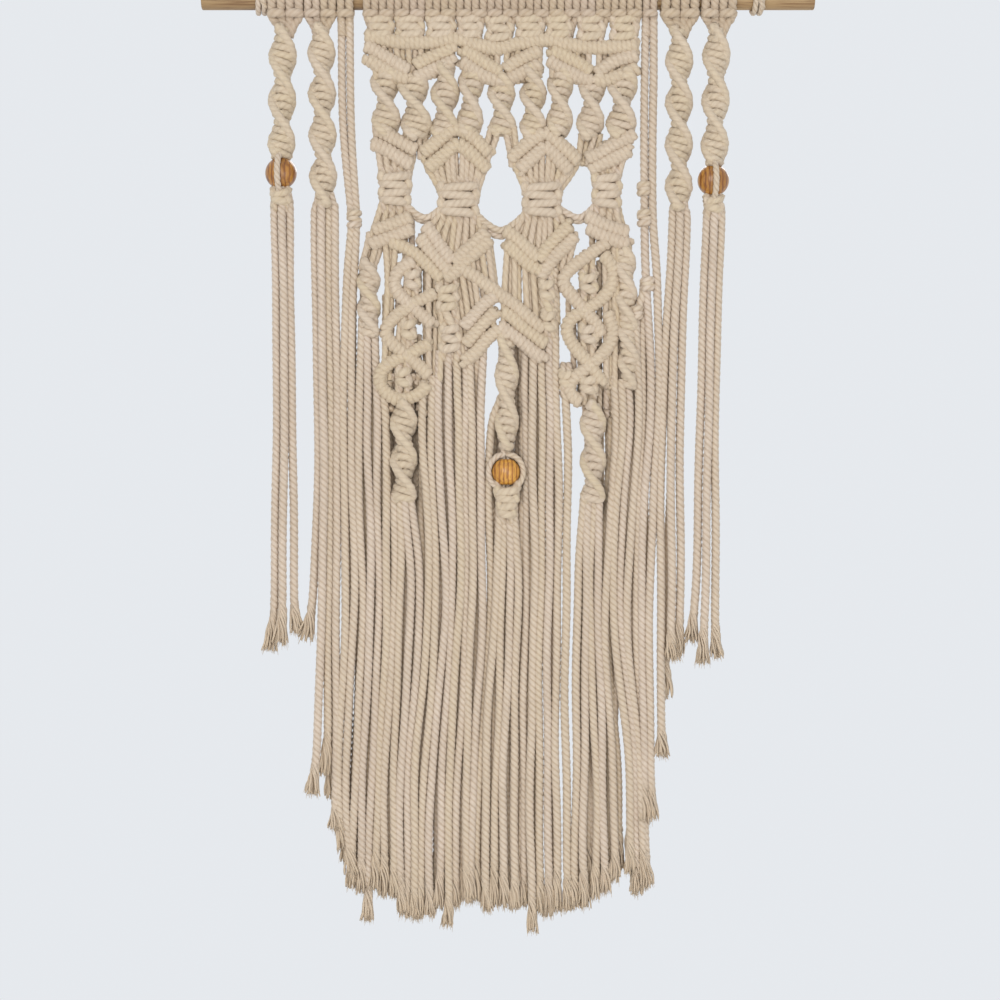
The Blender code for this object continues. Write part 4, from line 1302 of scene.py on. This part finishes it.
def make_hanger():
    """The taut hanger cord."""
    left = [(-x, 0.0, z) for x, z in HANGER_ROUTE]
    right = [(x, 0.0, z) for x, z in HANGER_ROUTE[-2::-1]]
    route = smooth(left + right, STEP)
    yarn = Yarn(41)
    yarn.rope(route, HANGER_CORD, deep=HANGER_GROOVE)
    hanger = yarn.piece("hanger_rope", "hanger")


def make_hanger_wrap(name, x, seed):
    """Two turns of the hanger cord round the dowel, with a band aslant over them."""
    wrap = Yarn(seed)
    ring = DOWEL_RADIUS + HANGER_CORD / 2 + 0.1
    turns = []
    for step in range(37):
        angle = math.radians(70 + 20 * step)
        turns.append((x - 4.6 + 9.6 * step / 36, -ring * math.cos(angle), ring * math.sin(angle)))
    wrap.rope(smooth(turns, STEP), HANGER_CORD)
    band = [(x - 5.2, -ring * 0.80, ring * 0.62), (x - 2.0, -ring - 1.6, ring * 0.16),
            (x + 2.4, -ring - 1.2, -ring * 0.30), (x + 4.6, -ring * 0.66, -ring * 0.80)]
    wrap.rope(smooth(band, STEP), HANGER_CORD)
    wrap.piece(name + "_rope", name)


# ---------------------------------------------------------------- stage

def make_lights():
    """Soft lights, and a pale sky all round."""
    world = bpy.data.worlds.new("studio")
    world.use_nodes = True
    tree = world.node_tree
    feed(tree, tree.nodes["Background"], {"Color": SKY, "Strength": SKY_STRENGTH})
    bpy.context.scene.world = world
    for name, place, size, power, colour in LIGHTS:
        data = bpy.data.lights.new(name, "AREA")
        data.energy = power
        data.size = size
        data.color = colour
        light = bpy.data.objects.new(name, data)
        light.location = place
        light.rotation_mode = "QUATERNION"
        light.rotation_quaternion = (Vector(LIGHT_AIM) - Vector(place)).to_track_quat("-Z", "Y")
        bpy.context.scene.collection.objects.link(light)


def make_stage():
    """A plain pale floor, the lights and the camera."""
    bpy.ops.mesh.primitive_circle_add(vertices=96, radius=FLOOR_RADIUS, fill_type="NGON",
                                      location=(0.0, 0.0, FLOOR_Z))
    floor = bpy.context.object
    floor.name = "floor"
    floor.data.materials.append(plain("floor_paint", (0.86, 0.85, 0.83)))
    make_lights()
    bpy.context.scene.view_settings.view_transform = "Standard"
    data = bpy.data.cameras.new("camera")
    data.lens = CAMERA_LENS
    data.sensor_width = CAMERA_SENSOR
    camera = bpy.data.objects.new("camera", data)
    camera.location = (VIEW_CENTRE[0] * MM, -CAMERA_DISTANCE, (VIEW_CENTRE[1] - HANGER_RISE) * MM)
    camera.rotation_euler = (math.pi / 2, 0.0, 0.0)
    bpy.context.scene.collection.objects.link(camera)
    bpy.context.scene.camera = camera


make_stage()
COTTON = cotton()
make_dowel()
make_hanger()
for seed, (name, x) in enumerate(HANGER_WRAPS, 42):
    make_hanger_wrap(name, x, seed)
make_panel()
make_fringe()
for seed, piece in enumerate(HITCHES, 50):
    if piece in SIDE_STRANDS:
        make_side_sinnet(piece, seed)
    elif piece in PAIR_STRANDS:
        make_pair(piece, seed)
for name, _, x, z, radius, lane in BEADS:
    if lane is None:
        make_bead(name, x, z, radius, MIDDLE_BEAD_WOOD, 0.4)
    else:
        make_bead(name, x, z, radius, OUTER_BEAD_WOOD, 0.35)
